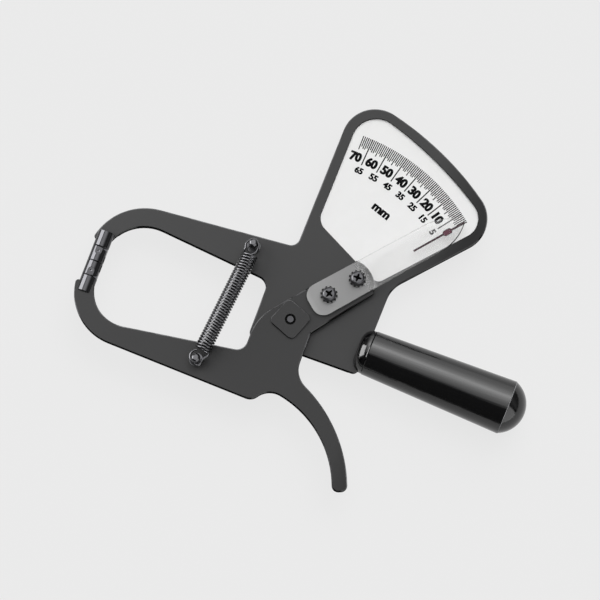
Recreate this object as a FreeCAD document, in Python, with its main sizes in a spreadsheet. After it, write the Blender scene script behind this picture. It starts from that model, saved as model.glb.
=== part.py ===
"""Skinfold caliper: a fixed frame with a fan dial, a moving jaw arm, a spring and swivelling tips.

X runs along the tool from the tips (-X) to the handle (+X), Y across it towards the dial,
and Z up out of the dial. The origin is the pivot axis on the frame plate's back face.
Millimetres and degrees.
"""
import FreeCAD, Part
import math
import os
import re

import Sketcher

Vector, Rotation, Placement = FreeCAD.Vector, FreeCAD.Rotation, FreeCAD.Placement

SIZES = {
    # plates: the arm plate turns in front of the frame plate, a thrust washer apart
    "plate_thick": 3.0,
    "plate_gap": 0.5,
    "edge_bevel": 0.5,
    "tang_step": 0.6,
    "fit_clear": 0.05,
    "run_clear": 0.03,
    # tip column: the axis of the round tips, and the plane in which they close
    "tip_reach": 101.9,
    "closing_drop": 5.35,
    "tip_diameter": 8.2,
    "tip_bevel": 0.3,
    "pad_length": 7.5,
    "pin_setback": 2.3,
    "pad_relief_start": 0.4,
    "pad_swivel": 17.0,
    "swivel_gap": 0.35,
    "stub_length": 8.45,
    "stub_overlap": 4.9,
    "tongue_thick": 2.6,
    "tongue_width": 7.8,
    "swivel_pin_diameter": 2.4,
    "pin_seat_width": 3.4,
    "pin_seat_depth": 0.5,
    # frame plate: upper jaw
    "jaw_outer_side": 6.05,
    "jaw_inner_side": 2.17,
    "throat_back": 17.2,
    "upper_inner_root": 15.13,
    "upper_inner_nose": 23.43,
    "upper_outer_nose": 28.72,
    "upper_outer_round": 29.7,
    "upper_inner_round": 21.66,
    "throat_round": 5.5,
    "jaw_end_round": 1.5,
    # frame plate: dial fan
    "fan_foot_out": 9.96,
    "fan_foot_up": 36.47,
    "fan_left_out": 7.73,
    "fan_left_up": 121.5,
    "fan_right_out": 83.39,
    "fan_right_up": 79.18,
    "fan_crown_radius": 161.5,
    "fan_foot_round": 4.5,
    "fan_left_round": 17.04,
    "fan_right_round": 16.8,
    # dial recess in the fan
    "bezel_left": 5.1,
    "bezel_heel": 5.6,
    "bezel_crown": 4.3,
    "bezel_right": 6.9,
    "window_crown_radius": 199.0,
    "window_heel_up": 52.33,
    "window_toe_back": 7.75,
    "window_toe_drop": 0.22,
    "window_right_lift": 0.53,
    "window_left_round": 12.68,
    "window_right_round": 10.5,
    "window_heel_round": 7.7,
    "window_toe_round": 4.4,
    "recess_deep": 1.5,
    "dial_sheet_thick": 0.6,
    "dial_clear": 0.1,
    # frame plate: lug that carries the handle
    "lug_top_out": 41.72,
    "lug_top_up": 32.72,
    "lug_end_out": 40.2,
    "lug_low_drop": 14.4,
    "lug_hollow_round": 15.5,
    "lug_corner_round": 3.0,
    # moving arm: lower jaw, tongue and trigger
    "arm_inner_side": 3.74,
    "arm_outer_side": 5.6,
    "arm_throat_back": 16.2,
    "lower_inner_root": 22.68,
    "lower_inner_nose": 34.81,
    "lower_outer_nose": 40.91,
    "lower_outer_round": 27.2,
    "lower_inner_round": 18.63,
    "arm_bend_up": 4.6,
    "arm_bend_round": 25.0,
    "tongue_left_out": 20.9,
    "tongue_left_up": 39.4,
    "tongue_right_out": 34.4,
    "tongue_right_up": 26.5,
    "tongue_end_round": 13.9,
    "arm_side_out": 11.8,
    "arm_side_top": 2.74,
    "arm_side_round": 4.0,
    "trigger_root_up": 26.21,
    "trigger_root_round": 12.0,
    "trigger_tip_out": 55.64,
    "trigger_tip_down": 70.94,
    "trigger_inner_out": 48.4,
    "trigger_inner_down": 73.8,
    "trigger_outer_radius": 72.5,
    "trigger_inner_radius": 52.5,
    "trigger_tip_round": 3.3,
    "trigger_heel_out": 8.64,
    "trigger_heel_down": 37.56,
    "palm_hollow_radius": 10.2,
    "heel_bump_out": 2.25,
    "heel_bump_down": 41.99,
    "heel_bump_radius": 6.1,
    "heel_foot_out": 7.58,
    "heel_foot_down": 44.48,
    # pivot
    "pivot_diameter": 6.0,
    "pivot_head_diameter": 10.0,
    "pivot_head_thick": 1.2,
    "pivot_head_sunk": 0.2,
    "pivot_nose_diameter": 5.4,
    "pivot_nose_proud": 0.1,
    "pivot_ring_inner": 3.2,
    "pivot_ring_outer": 4.8,
    "pivot_ring_deep": 0.9,
    "bush_diameter": 9.0,
    "washer_diameter": 14.0,
    "cover_side": 15.2,
    "cover_round": 2.8,
    "cover_thick": 1.0,
    "cover_turn": -22.0,
    # pointer
    "pointer_turn": 49.7,
    "pointer_thick": 2.0,
    "pointer_base": 12.2,
    "pointer_low_side": 7.4,
    "pointer_high_side": 9.4,
    "pointer_taper_start": 82.0,
    "pointer_high_shoulder": 8.2,
    "pointer_length": 100.7,
    "pointer_base_round": 6.0,
    "pointer_nose_radius": 26.0,
    "screw_line_high": 1.0,
    "screw_reach": 22.7,
    "screw_spacing": 16.3,
    "screw_diameter": 4.0,
    "screw_head_diameter": 7.2,
    "screw_head_thick": 2.6,
    "screw_head_rim": 1.0,
    "screw_head_flat": 5.0,
    "screw_recess_root": 1.3,
    "screw_recess_wide": 0.7,
    "screw_recess_long": 4.2,
    "screw_recess_deep": 1.4,
    "lock_washer_thick": 0.7,
    "lock_washer_ring": 6.6,
    "lock_washer_tooth": 8.7,
    "tooth_root_wide": 1.3,
    "tooth_tip_wide": 0.8,
    "tooth_count": 12,
    # spring and its posts
    "upper_post_back": 30.2,
    "upper_post_up": 29.1,
    "lower_post_back": 36.9,
    "lower_post_down": 35.0,
    "spring_height": 11.0,
    "post_rivet_diameter": 3.0,
    "post_rivet_sunk": 0.2,
    "post_flange_diameter": 6.8,
    "post_flange_thick": 1.0,
    "post_shank_diameter": 4.4,
    "post_neck_diameter": 3.0,
    "post_neck_below": 1.2,
    "post_neck_above": 1.0,
    "post_head_diameter": 4.8,
    "post_head_thick": 2.0,
    "spring_diameter": 7.95,
    "spring_wire": 0.86,
    "spring_turns": 35,
    "coil_start": 5.7,
    "hook_inner_radius": 2.8,
    "hook_slack": 0.2,
    # handle
    "handle_start": 36.2,
    "handle_drop": 1.35,
    "handle_tilt": 2.0,
    "collar_face_radius": 5.6,
    "collar_round": 5.6,
    "collar_length": 5.9,
    "collar_radius": 11.2,
    "grip_front_radius": 11.45,
    "grip_back_radius": 13.8,
    "grip_length": 73.6,
    "dome_radius": 14.64,
    "seam_bevel": 0.4,
    "core_diameter": 16.0,
    "core_end_gap": 7.0,
    "cap_spigot": 6.0,
    "tang_length": 46.0,
    "tang_width": 12.0,
    "rivet_diameter": 4.0,
    "rivet_reach": 18.0,
    "rivet_spacing": 20.0,
    "rivet_sunk": 0.4,
}

doc = FreeCAD.newDocument("skinfold_caliper")
sheet = doc.addObject("Spreadsheet::Sheet", "sizes")
for row, (alias, number) in enumerate(SIZES.items(), start=1):
    sheet.set(f"A{row}", alias)
    sheet.set(f"B{row}", str(number))
    sheet.setAlias(f"B{row}", alias)
doc.recompute()

nodes = []
fine = 1e-3  # two places closer than this are the same place


# ---- words, values and positions -------------------------------------------------------------

def bound(words):
    """Turn size names in a formula into references to the sheet's cells."""
    return re.sub(r"[a-z]+(?:_[a-z]+)+", lambda found: "<<sizes>>." + found.group(), words)


def value(words):
    """Work a formula of size names out to a number."""
    result = sheet.evalExpression(bound(words))
    return float(getattr(result, "Value", result))


def tie(feature, **formulas):
    """Bind properties of a feature to formulas; a double underscore stands for a dot."""
    for name, words in formulas.items():
        feature.setExpression(name.replace("__", "."), bound(words))


def recompute(feature):
    """Rebuild the document and stop if the new feature failed."""
    doc.recompute()
    if {"Invalid", "Error"} & set(feature.State) or feature.Shape.isNull():
        raise RuntimeError(f"{feature.Label} failed: {feature.State}")
    return feature


# ---- sketches and features ----------------------------------------------------------------------

def new_body(label):
    body = doc.addObject("PartDesign::Body", label)
    nodes.append(body)
    return body


def origin_part(body, role):
    return next(item for item in body.Origin.OriginFeatures if item.Role == role)


def new_sketch(body, name, level="0", role="XY_Plane"):
    """An empty sketch on one of the body's origin planes, lifted along the plane's normal."""
    sketch = body.newObject("Sketcher::SketchObject", name)
    sketch.AttachmentSupport = [(origin_part(body, role), "")]
    sketch.MapMode = "FlatFace"
    tie(sketch, AttachmentOffset__Base__z=level)
    return sketch


def lock_point(sketch, geometry, point, across, up):
    """Place one point of a sketch by two formulas from the sketch's origin."""
    for kind, words in (("DistanceX", across), ("DistanceY", up)):
        datum = sketch.addConstraint(
            Sketcher.Constraint(kind, -1, 1, geometry, point, value(words)))
        sketch.setExpression(f"Constraints[{datum}]", bound(words))


def draw_outline(sketch, corners, arcs=None):
    """Draw a closed outline through the corners; arcs maps an edge to (radius, centre's side).

    The side is "left" or "right" of the way from the edge's first corner to its second.
    """
    arcs = arcs or {}
    spots = [Vector(value(across), value(up), 0) for across, up in corners]
    starts = []
    for index, here in enumerate(spots):
        there = spots[(index + 1) % len(spots)]
        if index not in arcs:
            sketch.addGeometry(Part.LineSegment(here, there), False)
            starts.append((1, 2))
            continue
        words, side = arcs[index]
        radius = value(words)
        chord = there - here
        rise = math.sqrt(max(radius ** 2 - (chord.Length / 2) ** 2, 0.0))
        leftward = Vector(-chord.y, chord.x, 0).normalize()
        centre = (here + there) / 2 + leftward * (rise if side == "left" else -rise)
        first, last = (here, there) if side == "left" else (there, here)
        circle = Part.Circle(centre, Vector(0, 0, 1), radius)
        begin = math.atan2(first.y - centre.y, first.x - centre.x)
        finish = math.atan2(last.y - centre.y, last.x - centre.x)
        sketch.addGeometry(Part.ArcOfCircle(circle, begin, finish), False)
        starts.append((1, 2) if side == "left" else (2, 1))
    count = len(spots)
    for index in range(count):
        following = (index + 1) % count
        sketch.addConstraint(Sketcher.Constraint(
            "Coincident", index, starts[index][1], following, starts[following][0]))
        lock_point(sketch, index, starts[index][0], *corners[index])
    for index, (words, _side) in arcs.items():
        datum = sketch.addConstraint(Sketcher.Constraint("Radius", index, value(words)))
        sketch.setExpression(f"Constraints[{datum}]", bound(words))
    doc.recompute()
    return spots


def draw_circle(sketch, diameter, across="0", up="0"):
    centre = Vector(value(across), value(up), 0)
    circle = Part.Circle(centre, Vector(0, 0, 1), value(diameter) / 2)
    index = sketch.addGeometry(circle, False)
    lock_point(sketch, index, 3, across, up)
    datum = sketch.addConstraint(Sketcher.Constraint("Diameter", index, value(diameter)))
    sketch.setExpression(f"Constraints[{datum}]", bound(diameter))
    doc.recompute()


def draw_box(sketch, low_across, low_up, high_across, high_up):
    return draw_outline(sketch, [(low_across, low_up), (high_across, low_up),
                                 (high_across, high_up), (low_across, high_up)])


def pad(body, sketch, length, middle=False):
    feature = body.newObject("PartDesign::Pad", sketch.Label + "_pad")
    feature.Profile = sketch
    feature.Midplane = middle
    tie(feature, Length=length)
    return recompute(feature)


def pocket(body, sketch, depth=None, up=False, middle=False):
    """Cut a sketch out of the body, to a depth or all the way, and see that it cut."""
    before = body.Shape.Volume
    feature = body.newObject("PartDesign::Pocket", sketch.Label + "_cut")
    feature.Profile = sketch
    feature.Midplane = middle
    feature.Reversed = up
    if depth is None:
        feature.Type = "ThroughAll"
    else:
        tie(feature, Length=depth)
    recompute(feature)
    if not feature.Shape.Volume < before:
        raise RuntimeError(f"{feature.Label} cut nothing")
    return feature


def bore(body, name, diameter, across="0", up="0"):
    """A round hole through the body along Z."""
    sketch = new_sketch(body, name)
    draw_circle(sketch, diameter, across, up)
    return pocket(body, sketch, middle=True)


def round_corners(body, sketch, spots, radius):
    """Round the upright edges of the body that stand at the given spots of a sketch."""
    base = body.Tip
    places = [sketch.Placement.multVec(spot) for spot in spots]
    names = []
    for number, edge in enumerate(base.Shape.Edges, start=1):
        low, high = edge.Vertexes[0].Point, edge.Vertexes[-1].Point
        upright = math.hypot(low.x - high.x, low.y - high.y) < fine < abs(low.z - high.z)
        if upright and any(math.hypot(low.x - p.x, low.y - p.y) < fine for p in places):
            names.append(f"Edge{number}")
    feature = body.newObject("PartDesign::Fillet", sketch.Label + "_round")
    feature.Base = (base, names)
    tie(feature, Radius=radius)
    return recompute(feature)


def bevel_rim(body, level, size):
    """Bevel the outer rim of the body's flat face that looks up at a level."""
    base = body.Tip
    height = value(level)
    flats = [face for face in base.Shape.Faces
             if abs(face.BoundBox.ZMin - height) < fine and abs(face.BoundBox.ZMax - height) < fine]
    rim = max(flats, key=lambda face: face.Area).OuterWire.Edges
    names = [f"Edge{number}" for number, edge in enumerate(base.Shape.Edges, start=1)
             if any(edge.isSame(other) for other in rim)]
    feature = body.newObject("PartDesign::Chamfer", "rim_bevel")
    feature.Base = (base, names)
    tie(feature, Size=size)
    return recompute(feature)


def turn_profile(body, name, axis, profile, arcs=None):
    """Revolve a profile of (radius, height) pairs about the body's X, Y or Z axis."""
    role = "XZ_Plane" if axis == "Z" else "XY_Plane"
    sketch = new_sketch(body, name, role=role)
    corners = [(height, radius) if axis == "X" else (radius, height) for radius, height in profile]
    draw_outline(sketch, corners, arcs)
    feature = body.newObject("PartDesign::Revolution", name + "_turned")
    feature.Profile = sketch
    feature.ReferenceAxis = (sketch, ["H_Axis" if axis == "X" else "V_Axis"])
    feature.Angle = 360
    return recompute(feature)


def place(body, across="0", up="0", height="0", axis=(0, 0, 1), angle="0"):
    """Put a body at its place with a turn about one axis."""
    body.Placement = Placement(Vector(), Rotation(Vector(*axis), 1.0))
    tie(body, Placement__Base__x=across, Placement__Base__y=up, Placement__Base__z=height,
        Placement__Rotation__Angle=angle)
    doc.recompute()


# ---- levels that several pieces share -------------------------------------------------------------

ARM_BACK = "(plate_thick + plate_gap)"
ARM_FRONT = "(2 * plate_thick + plate_gap)"
COLUMN_LEVEL = "(plate_thick + plate_gap / 2)"
PLATE_MIDDLE = "(plate_thick / 2)"
STUB_FACE = "(pin_setback + swivel_gap)"
STUB_REAR = "(pin_setback + swivel_gap + stub_length)"
PIN_FROM_CLOSING = "(pad_length - pin_setback)"
UPPER_PIN_UP = f"({PIN_FROM_CLOSING} - closing_drop)"
LOWER_PIN_UP = f"(-{PIN_FROM_CLOSING} - closing_drop)"
WASHER_TOP = f"({ARM_FRONT} + pointer_thick + lock_washer_thick)"


JAW_LEFT = "-tip_reach - 3 * jaw_outer_side"
JAW_RIGHT = "-tip_reach + 2 * jaw_outer_side"


def trim_jaw(body, side, pin_up):
    """Cut a jaw off inside its tip stub and round the two corners of its end.

    The side is "" for the upper jaw, whose stub lies above its pin, and "-" for the lower one.
    """
    end = f"{pin_up} + ({side}({STUB_REAR} - stub_overlap))"
    beyond = f"{pin_up} - ({side}4 * pad_length)"
    trim = new_sketch(body, "jaw_trim")
    low, high = (end, beyond) if side else (beyond, end)
    draw_box(trim, JAW_LEFT, low, JAW_RIGHT, high)
    pocket(body, trim, middle=True)
    level = value(end)
    spots = [Vector(vertex.X, vertex.Y, 0) for vertex in body.Tip.Shape.Vertexes
             if abs(vertex.Y - level) < fine and vertex.X < value(JAW_RIGHT)]
    round_corners(body, trim, spots, "jaw_end_round")


def step_jaw(body, side, pin_up, level):
    """Thin a jaw's end to the stub's slot: the upper jaw from behind, the lower from the front."""
    rear = f"{pin_up} + ({side}({STUB_REAR} + edge_bevel))"
    beyond = f"{pin_up} - ({side}4 * pad_length)"
    step = new_sketch(body, "jaw_step", level)
    low, high = (rear, beyond) if side else (beyond, rear)
    draw_box(step, JAW_LEFT, low, JAW_RIGHT, high)
    pocket(body, step, "tang_step", up=not side)


# ---- frame plate: upper jaw, dial fan and handle lug in one flat plate ------------------------------

def window_corners(clear):
    """The dial recess, drawn inside the fan; clear draws it smaller for the dial sheet."""
    return [
        (f"-fan_foot_out + bezel_heel + {clear}", f"window_heel_up + {clear}"),
        (f"-fan_left_out + bezel_left + {clear}", f"fan_left_up - bezel_crown - {clear}"),
        (f"fan_right_out - bezel_right - {clear}", f"fan_right_up + window_right_lift - {clear} / 4"),
        ("lug_top_out - window_toe_back", f"lug_top_up - window_toe_drop + {clear} * 1.5"),
    ]


def round_window(body, sketch, spots):
    radii = ("window_heel_round", "window_left_round", "window_right_round", "window_toe_round")
    for spot, radius in zip(spots, radii):
        round_corners(body, sketch, [spot], radius)


def make_frame_plate():
    body = new_body("frame_plate")
    outline = new_sketch(body, "frame_outline")
    spots = draw_outline(outline, [
        ("-tip_reach + jaw_inner_side", "-closing_drop - pad_length"),
        ("-tip_reach + jaw_inner_side", "upper_inner_nose"),
        ("-throat_back", "upper_inner_root"),
        ("-throat_back", "-lug_low_drop"),
        ("lug_end_out", "-lug_low_drop"),
        ("lug_top_out", "lug_top_up"),
        ("fan_right_out", "fan_right_up"),
        ("-fan_left_out", "fan_left_up"),
        ("-fan_foot_out", "fan_foot_up"),
        ("-tip_reach - jaw_outer_side", "upper_outer_nose"),
        ("-tip_reach - jaw_outer_side", "-closing_drop - pad_length"),
    ], arcs={6: ("fan_crown_radius", "left")})
    pad(body, outline, "plate_thick")
    recess = new_sketch(body, "dial_recess", "plate_thick")
    window = draw_outline(recess, window_corners("0"), arcs={1: ("window_crown_radius", "right")})
    pocket(body, recess, "recess_deep")
    round_window(body, recess, window)
    round_corners(body, outline, [spots[1]], "upper_inner_round")
    round_corners(body, outline, [spots[2]], "throat_round")
    round_corners(body, outline, [spots[3], spots[4]], "lug_corner_round")
    round_corners(body, outline, [spots[5]], "lug_hollow_round")
    round_corners(body, outline, [spots[6]], "fan_right_round")
    round_corners(body, outline, [spots[7]], "fan_left_round")
    round_corners(body, outline, [spots[8]], "fan_foot_round")
    round_corners(body, outline, [spots[9]], "upper_outer_round")
    trim_jaw(body, "", UPPER_PIN_UP)
    bevel_rim(body, "plate_thick", "edge_bevel")
    step_jaw(body, "", UPPER_PIN_UP, "0")

    lug_step = new_sketch(body, "lug_step")
    draw_box(lug_step, "handle_start - edge_bevel", "-2 * lug_low_drop",
             "2 * lug_end_out", "collar_radius - handle_drop + edge_bevel")
    pocket(body, lug_step, "tang_step", up=True)
    tang = new_sketch(body, "handle_tang", "tang_step")
    tie(tang, AttachmentOffset__Base__x="handle_start", AttachmentOffset__Base__y="-handle_drop")
    tang.AttachmentOffset = Placement(tang.AttachmentOffset.Base, Rotation(Vector(0, 0, 1), -1.0))
    tie(tang, AttachmentOffset__Rotation__Angle="-handle_tilt")
    draw_box(tang, "0", "-tang_width / 2", "tang_length", "tang_width / 2")
    pad(body, tang, "plate_thick - tang_step")
    rivets = new_sketch(body, "rivet_holes")
    rivets.AttachmentOffset = Placement(Vector(), Rotation(Vector(0, 0, 1), -1.0))
    tie(rivets, AttachmentOffset__Base__x="handle_start", AttachmentOffset__Base__y="-handle_drop",
        AttachmentOffset__Rotation__Angle="-handle_tilt")
    draw_circle(rivets, "rivet_diameter", "rivet_reach")
    draw_circle(rivets, "rivet_diameter", "rivet_reach + rivet_spacing")
    pocket(body, rivets, middle=True)

    bore(body, "pivot_hole", "pivot_diameter")
    seat = new_sketch(body, "pivot_head_seat")
    draw_circle(seat, "pivot_head_diameter + 2 * fit_clear")
    pocket(body, seat, "pivot_head_sunk + pivot_head_thick", up=True)
    bore(body, "post_hole", "post_rivet_diameter", "-upper_post_back", "upper_post_up")


def make_dial_face():
    body = new_body("dial_face")
    sketch = new_sketch(body, "dial_outline", "plate_thick - recess_deep")
    spots = draw_outline(sketch, window_corners("dial_clear"),
                         arcs={1: ("window_crown_radius", "right")})
    pad(body, sketch, "dial_sheet_thick")
    round_window(body, sketch, spots)


# ---- moving arm: lower jaw, pointer tongue and trigger in one flat plate -----------------------------

def make_moving_arm():
    body = new_body("moving_arm")
    outline = new_sketch(body, "arm_outline", ARM_BACK)
    spots = draw_outline(outline, [
        ("-tip_reach + arm_inner_side", "-closing_drop + pad_length"),
        ("-tip_reach + arm_inner_side", "-lower_inner_nose"),
        ("-arm_throat_back", "-lower_inner_root"),
        ("-arm_throat_back", "-arm_bend_up"),
        ("tongue_left_out", "tongue_left_up"),
        ("tongue_right_out", "tongue_right_up"),
        ("arm_side_out", "-arm_side_top"),
        ("arm_side_out", "-trigger_root_up"),
        ("trigger_tip_out", "-trigger_tip_down"),
        ("trigger_inner_out", "-trigger_inner_down"),
        ("trigger_heel_out", "-trigger_heel_down"),
        ("-heel_bump_out", "-heel_bump_down"),
        ("-heel_foot_out", "-heel_foot_down"),
        ("-tip_reach - arm_outer_side", "-lower_outer_nose"),
        ("-tip_reach - arm_outer_side", "-closing_drop + pad_length"),
    ], arcs={
        4: ("tongue_end_round", "right"),
        7: ("trigger_outer_radius", "right"),
        9: ("trigger_inner_radius", "left"),
        10: ("palm_hollow_radius", "left"),
        11: ("heel_bump_radius", "right"),
    })
    pad(body, outline, "plate_thick")
    round_corners(body, outline, [spots[1]], "lower_inner_round")
    round_corners(body, outline, [spots[2]], "throat_round")
    round_corners(body, outline, [spots[3]], "arm_bend_round")
    round_corners(body, outline, [spots[6]], "arm_side_round")
    round_corners(body, outline, [spots[7]], "trigger_root_round")
    round_corners(body, outline, [spots[8], spots[9]], "trigger_tip_round")
    round_corners(body, outline, [spots[13]], "lower_outer_round")
    trim_jaw(body, "-", LOWER_PIN_UP)
    bevel_rim(body, ARM_FRONT, "edge_bevel")
    step_jaw(body, "-", LOWER_PIN_UP, ARM_FRONT)
    bore(body, "bush_hole", "bush_diameter")
    bore(body, "post_hole", "post_rivet_diameter", "-lower_post_back", "-lower_post_down")
    screws = new_sketch(body, "screw_holes", ARM_FRONT)
    turn_to_pointer(screws)
    draw_circle(screws, "screw_diameter", "screw_reach", "screw_line_high")
    draw_circle(screws, "screw_diameter", "screw_reach + screw_spacing", "screw_line_high")
    pocket(body, screws, "plate_thick")


# ---- pivot ------------------------------------------------------------------------------------------

def make_pivot():
    head_top = "(pivot_head_sunk + pivot_head_thick)"
    nose_foot = f"({ARM_FRONT} + fit_clear)"
    nose_top = f"({nose_foot} + cover_thick + pivot_nose_proud)"
    ring_floor = f"({nose_top} - pivot_ring_deep)"
    turn_profile(new_body("pivot_pin"), "pin_profile", "Z", [
        ("0", "pivot_head_sunk"),
        ("pivot_head_diameter / 2", "pivot_head_sunk"),
        ("pivot_head_diameter / 2", head_top),
        ("pivot_diameter / 2", head_top),
        ("pivot_diameter / 2", nose_foot),
        ("pivot_nose_diameter / 2", nose_foot),
        ("pivot_nose_diameter / 2", nose_top),
        ("pivot_ring_outer / 2", nose_top),
        ("pivot_ring_outer / 2", ring_floor),
        ("pivot_ring_inner / 2", ring_floor),
        ("pivot_ring_inner / 2", nose_top),
        ("0", nose_top),
    ])
    turn_profile(new_body("thrust_washer"), "washer_profile", "Z", [
        ("pivot_diameter / 2 + run_clear", "plate_thick"),
        ("washer_diameter / 2", "plate_thick"),
        ("washer_diameter / 2", f"{ARM_BACK} - fit_clear"),
        ("pivot_diameter / 2 + run_clear", f"{ARM_BACK} - fit_clear"),
    ])
    turn_profile(new_body("pivot_bush"), "bush_profile", "Z", [
        ("pivot_diameter / 2 + run_clear", ARM_BACK),
        ("bush_diameter / 2", ARM_BACK),
        ("bush_diameter / 2", ARM_FRONT),
        ("pivot_diameter / 2 + run_clear", ARM_FRONT),
    ])
    cover = new_body("pivot_cover_plate")
    sketch = new_sketch(cover, "cover_outline")
    half = "cover_side / 2"
    spots = draw_box(sketch, f"-{half}", f"-{half}", half, half)
    pad(cover, sketch, "cover_thick")
    round_corners(cover, sketch, spots, "cover_round")
    bevel_rim(cover, "cover_thick", "edge_bevel / 2")
    bore(cover, "cover_hole", "pivot_nose_diameter")
    place(cover, height=nose_foot, angle="cover_turn")


# ---- pointer, its screws and their lock washers --------------------------------------------------------

def turn_to_pointer(sketch):
    """Turn a sketch so that its first axis runs along the pointer."""
    lift = sketch.AttachmentOffset.Base
    sketch.AttachmentOffset = Placement(lift, Rotation(Vector(0, 0, 1), 1.0))
    tie(sketch, AttachmentOffset__Rotation__Angle="pointer_turn")


def make_pointer():
    body = new_body("pointer_blade")
    sketch = new_sketch(body, "blade_outline", ARM_FRONT)
    turn_to_pointer(sketch)
    spots = draw_outline(sketch, [
        ("pointer_base", "-pointer_low_side"),
        ("pointer_taper_start + 3", "-pointer_low_side"),
        ("pointer_length", "0"),
        ("pointer_taper_start", "pointer_high_shoulder"),
        ("pointer_base", "pointer_high_side"),
    ], arcs={1: ("pointer_nose_radius", "left"), 2: ("pointer_nose_radius", "left")})
    pad(body, sketch, "pointer_thick")
    round_corners(body, sketch, [spots[0], spots[4]], "pointer_base_round")
    holes = new_sketch(body, "blade_holes", f"{ARM_FRONT} + pointer_thick")
    turn_to_pointer(holes)
    for along in ("screw_reach", "screw_reach + screw_spacing"):
        draw_circle(holes, "screw_diameter + 4 * fit_clear", along, "screw_line_high")
    pocket(body, holes, "pointer_thick")


def make_screw(label):
    """A pan head screw; its seat is at height 0 and its shank points down.

    The arms of its cross recess narrow outwards.
    """
    body = doc.addObject("PartDesign::Body", label)
    rim = "screw_head_rim"
    turn_profile(body, "screw_profile", "Z", [
        ("0", "-pointer_thick - lock_washer_thick - plate_thick + fit_clear"),
        ("screw_diameter / 2", "-pointer_thick - lock_washer_thick - plate_thick + fit_clear"),
        ("screw_diameter / 2", "0"),
        ("screw_head_diameter / 2", "0"),
        ("screw_head_diameter / 2", rim),
        ("screw_head_flat / 2", "screw_head_thick"),
        ("0", "screw_head_thick"),
    ], arcs={4: ("screw_head_diameter / 4", "left")})
    cross = new_sketch(body, "cross_recess", "screw_head_thick")
    root, half, arm = "screw_recess_root / 2", "screw_recess_wide / 2", "screw_recess_long / 2"
    draw_outline(cross, [
        (root, root), (arm, half), (arm, f"-{half}"), (root, f"-{root}"),
        (half, f"-{arm}"), (f"-{half}", f"-{arm}"), (f"-{root}", f"-{root}"), (f"-{arm}", f"-{half}"),
        (f"-{arm}", half), (f"-{root}", root), (f"-{half}", arm), (half, arm),
    ])
    pocket(body, cross, "screw_recess_deep")
    return body


def make_lock_washer(label):
    """A ring with outward teeth, its underside at height 0."""
    body = doc.addObject("PartDesign::Body", label)
    turn_profile(body, "ring_profile", "Z", [
        ("screw_diameter / 2 + 2 * fit_clear", "0"),
        ("lock_washer_ring / 2", "0"),
        ("lock_washer_ring / 2", "lock_washer_thick"),
        ("screw_diameter / 2 + 2 * fit_clear", "lock_washer_thick"),
    ])
    tooth = new_sketch(body, "tooth_outline")
    root = "screw_diameter / 4 + lock_washer_ring / 4"
    draw_outline(tooth, [
        (root, "-tooth_root_wide / 2"), ("lock_washer_tooth / 2", "-tooth_tip_wide / 2"),
        ("lock_washer_tooth / 2", "tooth_tip_wide / 2"), (root, "tooth_root_wide / 2"),
    ])
    single = pad(body, tooth, "lock_washer_thick")
    ring = body.newObject("PartDesign::PolarPattern", "tooth_ring")
    ring.Originals = [single]
    ring.Axis = (tooth, ["N_Axis"])
    ring.Angle = 360
    tie(ring, Occurrences="tooth_count")
    body.Tip = ring
    recompute(ring)
    return body


def group(label, bodies):
    """One node of like pieces that stay separate solids."""
    node = doc.addObject("Part::Compound", label)
    node.Links = bodies
    doc.recompute()
    nodes.append(node)


def make_pointer_fixings():
    """Two screws through the blade into the arm's tongue, each on a toothed washer."""
    for label, maker, level in (
            ("pointer_screw", make_screw, WASHER_TOP),
            ("pointer_lock_washer", make_lock_washer, f"({ARM_FRONT} + pointer_thick)")):
        pair = []
        for number, along in enumerate(("screw_reach", "(screw_reach + screw_spacing)"), start=1):
            body = maker(f"{label}_{number}")
            reach, side, turn = along, "screw_line_high", "(pointer_turn * 1 deg)"
            place(body,
                  f"{reach} * cos({turn}) - {side} * sin({turn})",
                  f"{reach} * sin({turn}) + {side} * cos({turn})",
                  level, angle=f"pointer_turn + {20 * number}")
            pair.append(body)
        group(label + "s", pair)


# ---- swivelling tips ---------------------------------------------------------------------------------

def make_tip_stub(label):
    """The fixed part of a tip: a slot for the jaw plate behind, a tongue for the pad in front."""
    body = new_body(label)
    radius, face, rear = "tip_diameter / 2", STUB_FACE, STUB_REAR
    turn_profile(body, "stub_profile", "Y", [
        ("0", face), (f"{radius} - tip_bevel", face), (radius, f"{face} + tip_bevel"),
        (radius, f"{rear} - tip_bevel"), (f"{radius} - tip_bevel", rear), ("0", rear),
    ])
    tongue = new_sketch(body, "tongue_side")
    draw_box(tongue, "-tongue_width / 2", "0", "tongue_width / 2", f"{face} + tip_bevel * 2")
    pad(body, tongue, "tongue_thick", middle=True)
    eye = new_sketch(body, "tongue_eye")
    draw_circle(eye, "tongue_width")
    pad(body, eye, "tongue_thick", middle=True)
    bore(body, "pin_hole", "swivel_pin_diameter + 2 * fit_clear")
    slot = new_sketch(body, "plate_slot", role="YZ_Plane")
    draw_box(slot, f"{rear} - stub_overlap - fit_clear", f"tang_step - {COLUMN_LEVEL} - run_clear",
             f"{rear} + stub_overlap", f"plate_thick - {COLUMN_LEVEL} + run_clear")
    pocket(body, slot, middle=True)
    return body


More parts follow.
